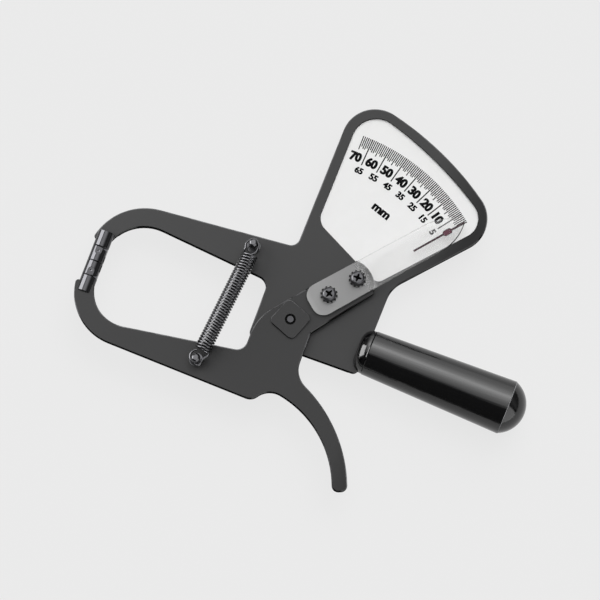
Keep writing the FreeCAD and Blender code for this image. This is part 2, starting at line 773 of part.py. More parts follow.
def make_tip_pad(label):
    """The swivelling part of a tip: a fork round the stub's tongue.

    Its rear is sloped on the throat side, where it turns towards the stub as the jaws open.
    """
    body = new_body(label)
    radius, face = "tip_diameter / 2", f"-{PIN_FROM_CLOSING}"
    turn_profile(body, "pad_profile", "Y", [
        ("0", face), (f"{radius} - tip_bevel", face), (radius, f"{face} + tip_bevel"),
        (radius, "pin_setback"), ("0", "pin_setback"),
    ])
    relief = new_sketch(body, "throat_relief")
    draw_outline(relief, [
        ("pad_relief_start", "pin_setback"), ("tip_diameter", "pin_setback"),
        ("tip_diameter",
         "pin_setback - (tip_diameter - pad_relief_start) * tan((pad_swivel * 1 deg))"),
    ])
    pocket(body, relief, middle=True)
    slot = new_sketch(body, "fork_slot", role="YZ_Plane")
    slot_half = "(tongue_thick / 2 + fit_clear)"
    draw_box(slot, "-tongue_width / 2 - 6 * fit_clear", f"-{slot_half}", "2 * pin_setback", slot_half)
    pocket(body, slot, middle=True)
    bore(body, "pin_hole", "swivel_pin_diameter")
    seat_level = f"{radius} - pin_seat_depth"
    seat = new_sketch(body, "pin_seat", seat_level)
    draw_circle(seat, "pin_seat_width")
    round_cut = pocket(body, seat, "2 * pin_seat_depth", up=True)
    run_out = new_sketch(body, "pin_seat_run_out", seat_level)
    draw_box(run_out, "-pin_seat_width / 2", "0", "pin_seat_width / 2", "2 * pin_setback")
    flat_cut = pocket(body, run_out, "2 * pin_seat_depth", up=True)
    far_side = body.newObject("PartDesign::Mirrored", "far_pin_seat")
    far_side.Originals = [round_cut, flat_cut]
    far_side.MirrorPlane = (origin_part(body, "XY_Plane"), [""])
    body.Tip = far_side
    recompute(far_side)
    return body


def make_swivel_pin(label):
    """A pin with spun ends, fixed in the pad's fork and free in the stub's tongue."""
    body = new_body(label)
    end = "(tip_diameter / 2 - pin_seat_depth + fit_clear)"
    radius, dimple = "swivel_pin_diameter / 2", "swivel_pin_diameter / 4"
    turn_profile(body, "pin_profile", "Z", [
        ("0", f"-{end} + 4 * fit_clear"), (dimple, f"-{end}"), (radius, f"-{end}"),
        (radius, end), (dimple, end), ("0", f"{end} - 4 * fit_clear"),
    ])
    return body


def make_tips():
    """The lower tip is the upper one turned over about the tip column."""
    for name, pin_up, angle in (("upper", UPPER_PIN_UP, "0"), ("lower", LOWER_PIN_UP, "180")):
        for maker, kind in ((make_tip_stub, "tip_stub"), (make_tip_pad, "tip_pad"),
                            (make_swivel_pin, "pad_pin")):
            body = maker(f"{name}_{kind}")
            place(body, "-tip_reach", pin_up, COLUMN_LEVEL, axis=(1, 0, 0), angle=angle)


# ---- spring posts and tension spring --------------------------------------------------------------------

def make_spring_post(label, across, up, plate_back):
    """A shouldered post riveted through a plate, with a neck for the spring's hook."""
    body = new_body(label)
    plate_front = f"({plate_back} + plate_thick)"
    neck_foot = "(spring_height - post_neck_below)"
    neck_top = "(spring_height + post_neck_above)"
    head_top = f"({neck_top} + post_head_thick)"
    turn_profile(body, "post_profile", "Z", [
        ("0", f"{plate_back} + post_rivet_sunk"),
        ("post_rivet_diameter / 2", f"{plate_back} + post_rivet_sunk"),
        ("post_rivet_diameter / 2", plate_front),
        ("post_flange_diameter / 2", plate_front),
        ("post_flange_diameter / 2", f"{plate_front} + post_flange_thick"),
        ("post_shank_diameter / 2", f"{plate_front} + post_flange_thick"),
        ("post_shank_diameter / 2", neck_foot),
        ("post_neck_diameter / 2", neck_foot),
        ("post_neck_diameter / 2", neck_top),
        ("post_head_diameter / 2", neck_top),
        ("post_head_diameter / 2", f"{neck_top} + post_head_thick / 3"),
        ("post_head_diameter / 4", head_top),
        ("0", head_top),
    ], arcs={10: ("post_head_diameter / 2", "left")})
    place(body, across, up)


RING_STEPS = 16
TURN_STEPS = 10
WIRE_SIDES = 6


def polygon_wire(points, radius, sides):
    """A solid wire through the points: straight prisms, mitred where they meet."""
    forward = (points[1] - points[0]).normalize()
    side = forward.cross(Vector(0, 0, 1))
    if side.Length < fine:
        side = forward.cross(Vector(0, 1, 0))
    side.normalize()
    over = forward.cross(side)
    ring = []
    for corner in range(sides):
        angle = 2 * math.pi * corner / sides
        ring.append(points[0] + side * (radius * math.cos(angle)) + over * (radius * math.sin(angle)))
    faces = [Part.Face(Part.makePolygon(ring + ring[:1]))]
    for index in range(1, len(points)):
        way = (points[index] - points[index - 1]).normalize()
        last = index == len(points) - 1
        onward = way if last else (points[index + 1] - points[index]).normalize()
        mitre = (way + onward).normalize()
        moved = [spot + way * ((points[index] - spot).dot(mitre) / way.dot(mitre)) for spot in ring]
        for corner in range(sides):
            beside = (corner + 1) % sides
            outline = [ring[corner], ring[beside], moved[beside], moved[corner], ring[corner]]
            faces.append(Part.Face(Part.makePolygon(outline)))
        ring = moved
    faces.append(Part.Face(Part.makePolygon(ring + ring[:1])))
    shell = Part.makeShell(faces)
    shell.sewShape()
    solid = Part.makeSolid(shell)
    return solid if solid.Volume > 0 else solid.reversed()


def hook_points(wire_radius, coil_radius):
    """The hook's full loop round its post, and its lead up to the coil, in spring coordinates.

    The first coordinate runs from this hook's post towards the other post.
    """
    loop_radius = value("hook_inner_radius") + wire_radius
    slack = value("hook_slack")
    loop_centre = value("hook_inner_radius - post_neck_diameter / 2") - slack
    points = []
    for step in range(RING_STEPS):
        angle = math.radians(40 + (325 - 40) * step / (RING_STEPS - 1))
        points.append(Vector(loop_centre + loop_radius * math.cos(angle),
                             loop_radius * math.sin(angle), 0))
    lead = value("coil_start")
    gap = lead - points[-1].x
    points.append(Vector(points[-1].x + gap * 0.4, -coil_radius * 0.1, coil_radius * 0.05))
    points.append(Vector(points[-2].x + gap * 0.72, coil_radius * 0.5, coil_radius * 0.35))
    return points


def make_spring():
    """One wire: a hook, the coil and the far hook, which swings with the lower post."""
    wire_radius = value("spring_wire / 2")
    coil_radius = value("spring_diameter / 2") - wire_radius
    upper = Vector(value("-upper_post_back"), value("upper_post_up"), value("spring_height"))
    lower = Vector(value("-lower_post_back"), value("-lower_post_down"), value("spring_height"))
    span = (lower - upper).Length
    direction = math.degrees(math.atan2(lower.y - upper.y, lower.x - upper.x))
    start, turns = value("coil_start"), value("spring_turns")
    pitch = (span - 2 * start) / turns

    coil = []
    steps = int(turns * TURN_STEPS)
    half_turn = TURN_STEPS // 2
    for step in range(steps + 1):
        angle = math.radians(60) + 2 * math.pi * step / TURN_STEPS
        coil.append(Vector(start + pitch * step / TURN_STEPS,
                           coil_radius * math.cos(angle), coil_radius * math.sin(angle)))
    near_hook = hook_points(wire_radius, coil_radius)
    far_hook = [Vector(span - spot.x, spot.y, -spot.z) for spot in near_hook]
    turned_end = coil[-1]
    far_hook = [Vector(spot.x, spot.y * (1 if turned_end.y > 0 else -1),
                       spot.z * (1 if spot.z * turned_end.z >= 0 else -1)) for spot in far_hook]
    body_points = near_hook + coil[:-half_turn]
    tail_points = coil[-half_turn - 1:] + far_hook[::-1]
    parting = (body_points[-1] - body_points[-2]).normalize() * wire_radius * 0.7
    body_points[-1] = body_points[-1] - parting
    frame = Placement(upper, Rotation(Vector(0, 0, 1), direction))
    for label, points in (("tension_spring", body_points), ("spring_lower_hook", tail_points)):
        node = doc.addObject("Part::Feature", label)
        node.Shape = polygon_wire(points, wire_radius, WIRE_SIDES)
        node.Placement = frame
        nodes.append(node)


# ---- handle -------------------------------------------------------------------------------------------------

def place_on_handle(body, along="0"):
    tilt = "(handle_tilt * 1 deg)"
    place(body, f"handle_start + ({along}) * cos({tilt})",
          f"-handle_drop - ({along}) * sin({tilt})", PLATE_MIDDLE, angle="-handle_tilt")


def slot_for_plate(body, length):
    """A slot open at the front, for the plate's stepped lug or tang."""
    slot = new_sketch(body, "plate_slot", role="XZ_Plane")
    draw_box(slot, "-collar_length", f"tang_step - {PLATE_MIDDLE} - run_clear",
             length, f"plate_thick - {PLATE_MIDDLE} + run_clear")
    pocket(body, slot, middle=True)


def make_handle():
    bore_radius = "core_diameter / 2 + fit_clear"
    grip_end = "(collar_length + grip_length)"
    seat = "(lug_end_out - handle_start + seam_bevel + 4 * fit_clear)"
    collar = new_body("handle_collar")
    turn_profile(collar, "collar_profile", "X", [
        ("0", "0"), ("collar_face_radius", "0"), ("collar_radius", "collar_round"),
        ("collar_radius + seam_bevel / 4", "collar_length"), (bore_radius, "collar_length"),
        (bore_radius, seat), ("0", seat),
    ], arcs={1: ("collar_round * 1.02", "right")})
    slot_for_plate(collar, seat)
    place_on_handle(collar)

    core = new_body("handle_core")
    turn_profile(core, "core_profile", "X", [
        ("0", f"{seat} + fit_clear"), ("core_diameter / 2", f"{seat} + fit_clear"),
        ("core_diameter / 2", f"{grip_end} - core_end_gap"), ("0", f"{grip_end} - core_end_gap"),
    ])
    slot_for_plate(core, "tang_length + 0.5")
    holes = new_sketch(core, "rivet_holes")
    draw_circle(holes, "rivet_diameter", "rivet_reach")
    draw_circle(holes, "rivet_diameter", "rivet_reach + rivet_spacing")
    pocket(core, holes, middle=True)
    place_on_handle(core)

    grip = new_body("handle_grip")
    turn_profile(grip, "grip_profile", "X", [
        (bore_radius, "collar_length"), ("grip_front_radius - seam_bevel", "collar_length"),
        ("grip_front_radius", "collar_length + seam_bevel"),
        ("grip_back_radius", f"{grip_end} - seam_bevel / 2"),
        ("grip_back_radius - seam_bevel / 2", grip_end), (bore_radius, grip_end),
    ])
    place_on_handle(grip)

    cap = new_body("handle_end_cap")
    crown = "(dome_radius - sqrt(dome_radius ^ 2 - (grip_back_radius - seam_bevel / 2) ^ 2))"
    turn_profile(cap, "cap_profile", "X", [
        ("0", f"{grip_end} - cap_spigot"), ("core_diameter / 2", f"{grip_end} - cap_spigot"),
        ("core_diameter / 2", grip_end), ("grip_back_radius - seam_bevel / 2", grip_end),
        ("0", f"{grip_end} + {crown}"),
    ], arcs={3: ("dome_radius", "right")})
    place_on_handle(cap)

    rivet_half = "(core_diameter / 2 - rivet_sunk)"
    pair = []
    for number, along in enumerate(("rivet_reach", "rivet_reach + rivet_spacing"), start=1):
        body = doc.addObject("PartDesign::Body", f"handle_rivet_{number}")
        turn_profile(body, "rivet_profile", "Z", [
            ("0", f"-{rivet_half}"), ("rivet_diameter / 2", f"-{rivet_half}"),
            ("rivet_diameter / 2", rivet_half), ("0", rivet_half),
        ])
        place_on_handle(body, along)
        pair.append(body)
    group("handle_rivets", pair)


# ---- build, check and write -----------------------------------------------------------------------------------

make_frame_plate()
make_dial_face()
make_moving_arm()
make_pivot()
make_pointer()
make_pointer_fixings()
make_tips()
make_spring_post("upper_spring_post", "-upper_post_back", "upper_post_up", "0")
make_spring_post("lower_spring_post", "-lower_post_back", "-lower_post_down", ARM_BACK)
make_spring()
make_handle()
doc.recompute()

for item in doc.Objects:
    if {"Invalid", "Error"} & set(item.State):
        raise RuntimeError(f"{item.Label} is in state {item.State}")
for node in nodes:
    if node.Shape.isNull() or not node.Shape.isValid() or node.Shape.Volume <= 0:
        raise RuntimeError(f"{node.Label} has no valid solid")

os.makedirs("parts", exist_ok=True)
for node in nodes:
    node.Shape.exportStep(f"parts/{node.Label}.step")
    print(f"{node.Label}: {node.Shape.Volume:.1f} mm3, {len(node.Shape.Solids)} solid(s)")
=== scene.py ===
"""Skinfold caliper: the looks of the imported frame. Lengths are millimetres until they meet mm."""
import bmesh
import bpy
import math
from mathutils import Matrix, Vector


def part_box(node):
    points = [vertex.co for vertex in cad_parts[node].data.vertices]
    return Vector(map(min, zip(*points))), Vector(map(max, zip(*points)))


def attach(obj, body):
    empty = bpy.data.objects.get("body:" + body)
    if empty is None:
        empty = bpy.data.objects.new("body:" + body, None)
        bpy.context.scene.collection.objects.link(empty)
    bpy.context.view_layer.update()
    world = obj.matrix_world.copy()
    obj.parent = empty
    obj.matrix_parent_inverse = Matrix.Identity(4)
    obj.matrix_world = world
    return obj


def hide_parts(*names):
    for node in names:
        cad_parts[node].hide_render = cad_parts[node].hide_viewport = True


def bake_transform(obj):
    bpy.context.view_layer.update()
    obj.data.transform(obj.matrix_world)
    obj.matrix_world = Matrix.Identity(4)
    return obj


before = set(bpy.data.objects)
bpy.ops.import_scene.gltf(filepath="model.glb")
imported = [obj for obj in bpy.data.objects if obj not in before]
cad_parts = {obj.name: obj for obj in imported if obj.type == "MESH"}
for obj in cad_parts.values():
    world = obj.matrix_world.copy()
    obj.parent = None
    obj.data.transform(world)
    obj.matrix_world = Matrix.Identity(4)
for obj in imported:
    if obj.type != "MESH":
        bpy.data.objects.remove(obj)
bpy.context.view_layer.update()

# ---- camera ---------------------------------------------------------------------------------------
# A long lens looks down on the tool from well above its lower edge, turned a little to the right.

mm = 0.001
camera_turn = math.radians(20)
camera_rise = math.radians(79.1)
camera_reach = 1200
camera_target = Vector((0.72, 12.07, 0)) * mm
camera_data = bpy.data.cameras.new("table_camera")
camera_data.lens = 144
camera_data.sensor_width = 36
camera_data.clip_end = 20
camera = bpy.data.objects.new("table_camera", camera_data)
bpy.context.scene.collection.objects.link(camera)
camera_back = Vector((math.sin(camera_turn) * math.cos(camera_rise),
                      -math.cos(camera_turn) * math.cos(camera_rise), math.sin(camera_rise)))
camera.location = camera_target + camera_back * camera_reach * mm
camera.rotation_euler = (math.pi / 2 - camera_rise, 0, camera_turn)
bpy.context.scene.camera = camera
bpy.context.scene.view_settings.view_transform = "Standard"

# ---- table top ------------------------------------------------------------------------------------
# A pale laminate top, wide enough to fill every view. It is matt, so that it holds only a soft
# shadow, and it shows its own pale colour to the camera, in gloss and through clear plastic.

table_colour = "#ebebeb"
table_size = 8000
table_gap = 0.05   # the handle all but touches it
table_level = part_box("handle_grip")[0][2] / mm - table_gap
table_own = 0.92   # how much of its look is its own colour; the rest takes light and shadow


def linear(code):
    """A #rrggbb colour as the linear RGBA that shaders take."""
    parts = [int(code[place:place + 2], 16) / 255 for place in (1, 3, 5)]
    return [part / 12.92 if part <= 0.04045 else ((part + 0.055) / 1.055) ** 2.4 for part in parts] + [1]


def add_node(tree, kind, settings=None, links=None):
    """Add a node; settings name its properties or sockets, and links feed its sockets.

    A socket is given by name or number. A Mix node has its float ends at 2 and 3 and its colour
    ends at 6 and 7, and its mixed colour comes out at 2.
    """
    made = tree.nodes.new(kind)
    for name, setting in (settings or {}).items():
        if isinstance(name, str) and hasattr(made, name):
            setattr(made, name, setting)
        else:
            made.inputs[name].default_value = setting
    for name, source in (links or {}).items():
        tree.links.new(source, made.inputs[name])
    return made


def new_material(name):
    """A new material and its empty node tree."""
    material = bpy.data.materials.new(name)
    material.use_nodes = True
    material.node_tree.nodes.clear()
    return material, material.node_tree


def new_piece(name, mesh, material):
    """Link a mesh to the scene as an object with one material."""
    piece = bpy.data.objects.new(name, mesh)
    bpy.context.scene.collection.objects.link(piece)
    mesh.materials.clear()
    mesh.materials.append(material)
    return piece


# Laminate: plain and matt, with its own colour kept even so that the tool stands out.
table_laminate, tree = new_material("table_laminate")
rays = add_node(tree, "ShaderNodeLightPath")
seen = add_node(tree, "ShaderNodeMath", {"operation": "ADD"},
                {0: rays.outputs["Is Camera Ray"], 1: rays.outputs["Is Glossy Ray"]})
seen = add_node(tree, "ShaderNodeMath", {"operation": "ADD", "use_clamp": True},
                {0: seen.outputs[0], 1: rays.outputs["Is Transmission Ray"]})
own = add_node(tree, "ShaderNodeMath", {"operation": "MULTIPLY", 1: table_own}, {0: seen.outputs[0]})
matt = add_node(tree, "ShaderNodeBsdfDiffuse", {"Color": linear(table_colour)})
plain = add_node(tree, "ShaderNodeEmission", {"Color": linear(table_colour), "Strength": 1.0})
mixed = add_node(tree, "ShaderNodeMixShader", None,
                 {0: own.outputs[0], 1: matt.outputs[0], 2: plain.outputs[0]})
add_node(tree, "ShaderNodeOutputMaterial", None, {"Surface": mixed.outputs[0]})

sheet = bmesh.new()
half = table_size / 2 * mm
for x, y in ((-half, -half), (half, -half), (half, half), (-half, half)):
    sheet.verts.new((x, y, table_level * mm))
sheet.faces.new(sheet.verts)
table_mesh = bpy.data.meshes.new("table_top")
sheet.to_mesh(table_mesh)
sheet.free()
table_top = new_piece("table_top", table_mesh, table_laminate)

# ---- light ----------------------------------------------------------------------------------------
# A pale room that is graded across the tool: brightest as a soft strip above the dial side, fading
# overhead, dark on the trigger side, and dimmer toward both ends. Two large softboxes, a bright one
# beyond the tips and a weak one beyond the handle, add no light but their gloss.

strip_light = 5.5
# Each pair is a place on the arch over the tool and how bright the room is there: 0 is level on the
# dial side, 0.5 is overhead and 1 is level on the trigger side.
room_grades = ((0.0, 0.22), (0.12, 0.32), (0.24, 0.62), (0.30, 1.0), (0.355, 0.74), (0.46, 0.38),
               (0.52, 0.28), (0.565, 0.13), (0.595, 0.015), (1.0, 0.015))
end_start, end_full, end_dim = 0.1, 0.7, 0.93   # toward an end: where it dims, is dimmest, how much

world = bpy.data.worlds.new("graded_room")
bpy.context.scene.world = world
world.use_nodes = True
tree = world.node_tree
tree.nodes.clear()
place = add_node(tree, "ShaderNodeTexCoord")
way = add_node(tree, "ShaderNodeSeparateXYZ", None, {0: place.outputs["Generated"]})
arch = add_node(tree, "ShaderNodeMath", {"operation": "ARCTAN2"},
                {0: way.outputs["Z"], 1: way.outputs["Y"]})
arch = add_node(tree, "ShaderNodeMath", {"operation": "DIVIDE", 1: math.pi}, {0: arch.outputs[0]})
grades = add_node(tree, "ShaderNodeValToRGB", None, {0: arch.outputs[0]})
steps = grades.color_ramp.elements
for spot, grade in room_grades[1:-1]:
    steps.new(spot)
for step, (spot, grade) in zip(steps, room_grades):
    step.position = spot
    step.color = (grade, grade, grade, 1)
aside = add_node(tree, "ShaderNodeMath", {"operation": "ABSOLUTE"}, {0: way.outputs["X"]})
aside = add_node(tree, "ShaderNodeMapRange",
                 {"interpolation_type": "SMOOTHSTEP", "From Min": end_start, "From Max": end_full,
                  "To Min": strip_light, "To Max": strip_light * (1 - end_dim)},
                 {"Value": aside.outputs[0]})
bright = add_node(tree, "ShaderNodeMath", {"operation": "MULTIPLY"},
                  {0: grades.outputs[0], 1: aside.outputs[0]})
# The camera itself sees a plain white room.
rays = add_node(tree, "ShaderNodeLightPath")
bright =add_node(tree, "ShaderNodeMix", {"data_type": "FLOAT", 3: 1.0},
                  {0: rays.outputs["Is Camera Ray"], 2: bright.outputs[0]})
air = add_node(tree, "ShaderNodeBackground", {"Color": linear("#ffffff")},
               {"Strength": bright.outputs[0]})
add_node(tree, "ShaderNodeOutputWorld", None, {"Surface": air.outputs[0]})

softbox_away = 1100
softboxes = (   # turn and rise in degrees, width, height and watts
    ("tip_side_softbox", 186, 33, 1000, 950, 25),
    ("handle_side_softbox", 324, 22, 1200, 1000, 7.5),
)
for name, turn, rise, wide, tall, watts in softboxes:
    lamp = bpy.data.lights.new(name, "AREA")
    lamp.shape = "RECTANGLE"
    lamp.size, lamp.size_y = wide * mm, tall * mm
    lamp.energy = watts
    softbox = bpy.data.objects.new(name, lamp)
    bpy.context.scene.collection.objects.link(softbox)
    turn, rise = math.radians(turn), math.radians(rise)
    away = Vector((math.cos(turn) * math.cos(rise), math.sin(turn) * math.cos(rise), math.sin(rise)))
    softbox.location = camera_target + away * softbox_away * mm
    softbox.rotation_euler = away.to_track_quat("Z", "Y").to_euler()
    softbox.visible_diffuse = False

# ---- frame plate and moving arm -------------------------------------------------------------------
# Two 3 mm aluminium plates, milled to outline, bevelled round the front edge, bead blasted and then
# black anodised. The arm lies in front of the frame plate and turns on the pivot.

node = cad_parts
pointer_angle = math.radians(49.7)   # of the pointer blade, which spares the arm's bevel under it
# bevels facing the lower edges stay black as painted shade; the others carry the rubbed grey, which is
# partly a painted highlight
shade_side = math.radians(290)       # lower edges face this way, and their bevels are not rubbed
shade_start, shade_full = 0.2, 0.42   # how squarely one faces that way where rubbing fades and ends
blast_grain = 0.5   # real grit pits are about 0.1 mm; drawn coarser so that they show
blast_pit = 0.02
coarse_start, coarse_end, coarse_share = 42, 72, 1.7   # the fan's outer side was blasted coarser
dye_cloud = 30
rub_spacing = 7
rub_least = 0.2
# near black painted on the milled wall and on the unrubbed bevel: painted shade along the edges
painted_shade_black = "#060607"
wall_facing = 0.3   # a face is the milled wall of the edge where it faces up less than this
bevel_facing, bevel_reach = 0.7, 0.22   # and the bevel where it faces up so far, give or take
bevel_roughness = 0.15
# the rubbed metal is partly wear and partly a painted highlight on the bevels that face upward
plate_finishes = (   # dark and light dye, rubbed metal, least and most roughness, end of rubbing
    ("frame_plate", "#131314", "#1a1a1b", "#8e8e90", 0.46, 0.56, 200),
    ("moving_arm", "#0e0e0f", "#141415", "#a4a4a6", 0.56, 0.66, 14),
)


def finish_node(name, material):
    """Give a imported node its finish."""
    for place in node[name].material_slots:
        place.material = material


# Black anodised aluminium: the dyed film is sealed, so its gloss is that of a clear hard layer. The
# blasting makes it dull, even and finely grained, and the dye is a touch cloudy. The bevel is a
# smooth black line of painted shade, rubbed to grey metal in places. That grey is partly wear and
# partly a painted highlight, because the bevels that face the lower edges are never rubbed and stay
# black as painted shade. The milled wall of the edge is painted a dead black without sheen, as shade.
# The arm was dyed in another batch, and its bevel is rubbed brighter by the hand.
anodised = {}
for name, plate_black, plate_grey, rubbed_highlight_grey, smoothest, roughest, rub_end in plate_finishes:
    anodised[name], tree = new_material("black_anodised_" + name)
    place = add_node(tree, "ShaderNodeTexCoord")
    cloud = add_node(tree, "ShaderNodeTexNoise", {"Scale": 1 / (dye_cloud * mm), "Detail": 3.0},
                     {"Vector": place.outputs["Object"]})
    dye = add_node(tree, "ShaderNodeMix",
                   {"data_type": "RGBA", 6: linear(plate_black), 7: linear(plate_grey)},
                   {0: cloud.outputs["Fac"]})
    form = add_node(tree, "ShaderNodeNewGeometry")
    facing = add_node(tree, "ShaderNodeSeparateXYZ", None, {0: form.outputs["True Normal"]})
    bevel = add_node(tree, "ShaderNodeMath", {"operation": "COMPARE", 1: bevel_facing, 2: bevel_reach},
                     {0: facing.outputs["Z"]})
    rub = add_node(tree, "ShaderNodeTexNoise", {"Scale": 1 / (rub_spacing * mm), "Detail": 4.0},
                   {"Vector": place.outputs["Object"]})
    rub = add_node(tree, "ShaderNodeMapRange",
                   {"From Min": 0.35, "From Max": 0.65, "To Min": rub_least, "To Max": 1.0},
                   {"Value": rub.outputs["Fac"]})
    rub = add_node(tree, "ShaderNodeMath", {"operation": "MULTIPLY"},
                   {0: rub.outputs[0], 1: bevel.outputs[0]})
    outward = add_node(tree, "ShaderNodeVectorTransform",
                       {"vector_type": "NORMAL", "convert_from": "WORLD", "convert_to": "OBJECT"},
                       {0: form.outputs["True Normal"]})
    lower = add_node(tree, "ShaderNodeVectorMath",
                     {"operation": "DOT_PRODUCT", 1: (math.cos(shade_side), math.sin(shade_side), 0)},
                     {0: outward.outputs[0]})
    # no rubbing on bevels that face the shade side: they stay black, as painted shade
    upper = add_node(tree, "ShaderNodeMapRange",
                     {"From Min": shade_start, "From Max": shade_full, "To Min": 1.0, "To Max": 0.0},
                     {"Value": lower.outputs["Value"]})
    rub = add_node(tree, "ShaderNodeMath", {"operation": "MULTIPLY"},
                   {0: rub.outputs[0], 1: upper.outputs[0]})
    toward_dial = add_node(tree, "ShaderNodeVectorMath",
                           {"operation": "DOT_PRODUCT",
                            1: (math.cos(pointer_angle), math.sin(pointer_angle), 0)},
                           {0: place.outputs["Object"]})
    bare = add_node(tree, "ShaderNodeMath", {"operation": "LESS_THAN", 1: rub_end * mm},
                    {0: toward_dial.outputs["Value"]})
    rub = add_node(tree, "ShaderNodeMath", {"operation": "MULTIPLY"},
                   {0: rub.outputs[0], 1: bare.outputs[0]})
    # the bevel's base is painted near black, as shade along the edges
    dye = add_node(tree, "ShaderNodeMix", {"data_type": "RGBA", 7: linear(painted_shade_black)},
                   {0: bevel.outputs[0], 6: dye.outputs[2]})
    # rubbed grey: partly wear, partly a painted highlight along the upper bevels
    tone = add_node(tree, "ShaderNodeMix", {"data_type": "RGBA", 7: linear(rubbed_highlight_grey)},
                    {0: rub.outputs[0], 6: dye.outputs[2]})
    grain = add_node(tree, "ShaderNodeTexNoise", {"Scale": 1 / (blast_grain * mm), "Detail": 2.0},
                     {"Vector": place.outputs["Object"]})
    sheen = add_node(tree, "ShaderNodeMapRange", {"To Min": smoothest, "To Max": roughest},
                     {"Value": grain.outputs["Fac"]})
    side = add_node(tree, "ShaderNodeSeparateXYZ", None, {0: place.outputs["Object"]})
    coarser = add_node(tree, "ShaderNodeMapRange",
                       {"From Min": coarse_start * mm, "From Max": coarse_end * mm,
                        "To Min": 1.0, "To Max": coarse_share},
                       {"Value": side.outputs["X"]})
    sheen = add_node(tree, "ShaderNodeMath", {"operation": "MULTIPLY"},
                     {0: sheen.outputs[0], 1: coarser.outputs[0]})
    sheen = add_node(tree, "ShaderNodeMix", {"data_type": "FLOAT", 3: bevel_roughness},
                     {0: bevel.outputs[0], 2: sheen.outputs[0]})
    pits = add_node(tree, "ShaderNodeBump", {"Strength": 0.15, "Distance": blast_pit * mm},
                    {"Height": grain.outputs["Fac"]})
    skin = add_node(tree, "ShaderNodeBsdfPrincipled", {"IOR": 1.42},
                    {"Base Color": tone.outputs[2], "Metallic": rub.outputs[0],
                     "Roughness": sheen.outputs[0], "Normal": pits.outputs[0]})
    # the milled wall: a dead black without sheen, painted shade
    wall = add_node(tree, "ShaderNodeBsdfDiffuse", {"Color": linear(painted_shade_black)})
    steep = add_node(tree, "ShaderNodeMath", {"operation": "COMPARE", 1: 0.0, 2: wall_facing},
                     {0: facing.outputs["Z"]})
    whole = add_node(tree, "ShaderNodeMixShader", None,
                     {0: steep.outputs[0], 1: skin.outputs[0], 2: wall.outputs[0]})
    add_node(tree, "ShaderNodeOutputMaterial", None, {"Surface": whole.outputs[0]})
    finish_node(name, anodised[name])

# ---- dial -----------------------------------------------------------------------------------------
# A white rigid vinyl sheet let into the plate and screen printed in black: a tick for each
# millimetre that the tips open, a longer one at each ten, two longer ones midway between the fives,
# and a line for each odd five.

vinyl_white, vinyl_shade = "#eeeeee", "#e9e9e8"
vinyl_mottle = 6
ink_black, ink_thin = "#101011", "#1e1e1f"
screen_weave = 0.6   # a real screen has about 0.1 mm between threads; drawn coarser so that it shows
zero_angle = 49.72
degrees_per_mm = 0.5567
dial_span = 70
tick_outer, line_inner, ten_inner, middle_inner, tick_inner = 102.1, 87.6, 94.7, 95.7, 96.6
tick_wide, line_wide = 0.52, 0.6
stroke_spread, stroke_shift = 0.042, 0.033   # shares of the font's size and of a figure's height
ink_lift, ink_layer = 0.03, 0.01   # above the vinyl, and from one print of a figure to the next
ink_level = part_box("dial_face")[1][2] / mm + ink_lift

# Rigid vinyl: a soft even white with the slightest mottle.
printed_vinyl, tree = new_material("white_rigid_vinyl")
place = add_node(tree, "ShaderNodeTexCoord")
mottle = add_node(tree, "ShaderNodeTexNoise", {"Scale": 1 / (vinyl_mottle * mm), "Detail": 4.0},
                  {"Vector": place.outputs["Object"]})
tone = add_node(tree, "ShaderNodeMix",
                {"data_type": "RGBA", 6: linear(vinyl_white), 7: linear(vinyl_shade)},
                {0: mottle.outputs["Fac"]})
skin = add_node(tree, "ShaderNodeBsdfPrincipled", {"IOR": 1.5, "Roughness": 0.55},
                {"Base Color": tone.outputs[2]})
add_node(tree, "ShaderNodeOutputMaterial", None, {"Surface": skin.outputs[0]})
finish_node("dial_face", printed_vinyl)

# Screen ink: a matt black, a little thinner where the screen's threads held it back.
screen_ink, tree = new_material("black_screen_ink")
place = add_node(tree, "ShaderNodeTexCoord")
weave = add_node(tree, "ShaderNodeTexNoise", {"Scale": 1 / (screen_weave * mm), "Detail": 2.0},
                 {"Vector": place.outputs["Object"]})
tone = add_node(tree, "ShaderNodeMix",
                {"data_type": "RGBA", 6: linear(ink_black), 7: linear(ink_thin)},
                {0: weave.outputs["Fac"]})
skin = add_node(tree, "ShaderNodeBsdfDiffuse", None, {"Color": tone.outputs[2]})
add_node(tree, "ShaderNodeOutputMaterial", None, {"Surface": skin.outputs[0]})


def dial_spot(radius, angle):
    """A place on the dial from its distance to the pivot and its angle in degrees."""
    turn = math.radians(angle)
    return Vector((radius * math.cos(turn), radius * math.sin(turn), ink_level)) * mm


ticks = bmesh.new()
for reading in range(dial_span + 1):
    angle = zero_angle + reading * degrees_per_mm
    odd_five = reading % 10 == 5
    inner = tick_inner
    if odd_five:
        inner = line_inner
    elif reading % 10 == 0:
        inner = ten_inner
    elif reading % 5 in (2, 3):
        inner = middle_inner
    across = Vector((-math.sin(math.radians(angle)), math.cos(math.radians(angle)), 0))
    across *= (line_wide if odd_five else tick_wide) / 2 * mm
    low, high = dial_spot(inner, angle), dial_spot(tick_outer, angle)
    ticks.faces.new([ticks.verts.new(spot) for spot in
                     (low + across, low - across, high - across, high + across)])
tick_mesh = bpy.data.meshes.new("dial_ticks")
ticks.to_mesh(tick_mesh)
ticks.free()
dial_ticks = new_piece("dial_ticks", tick_mesh, screen_ink)
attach(dial_ticks, "frame")


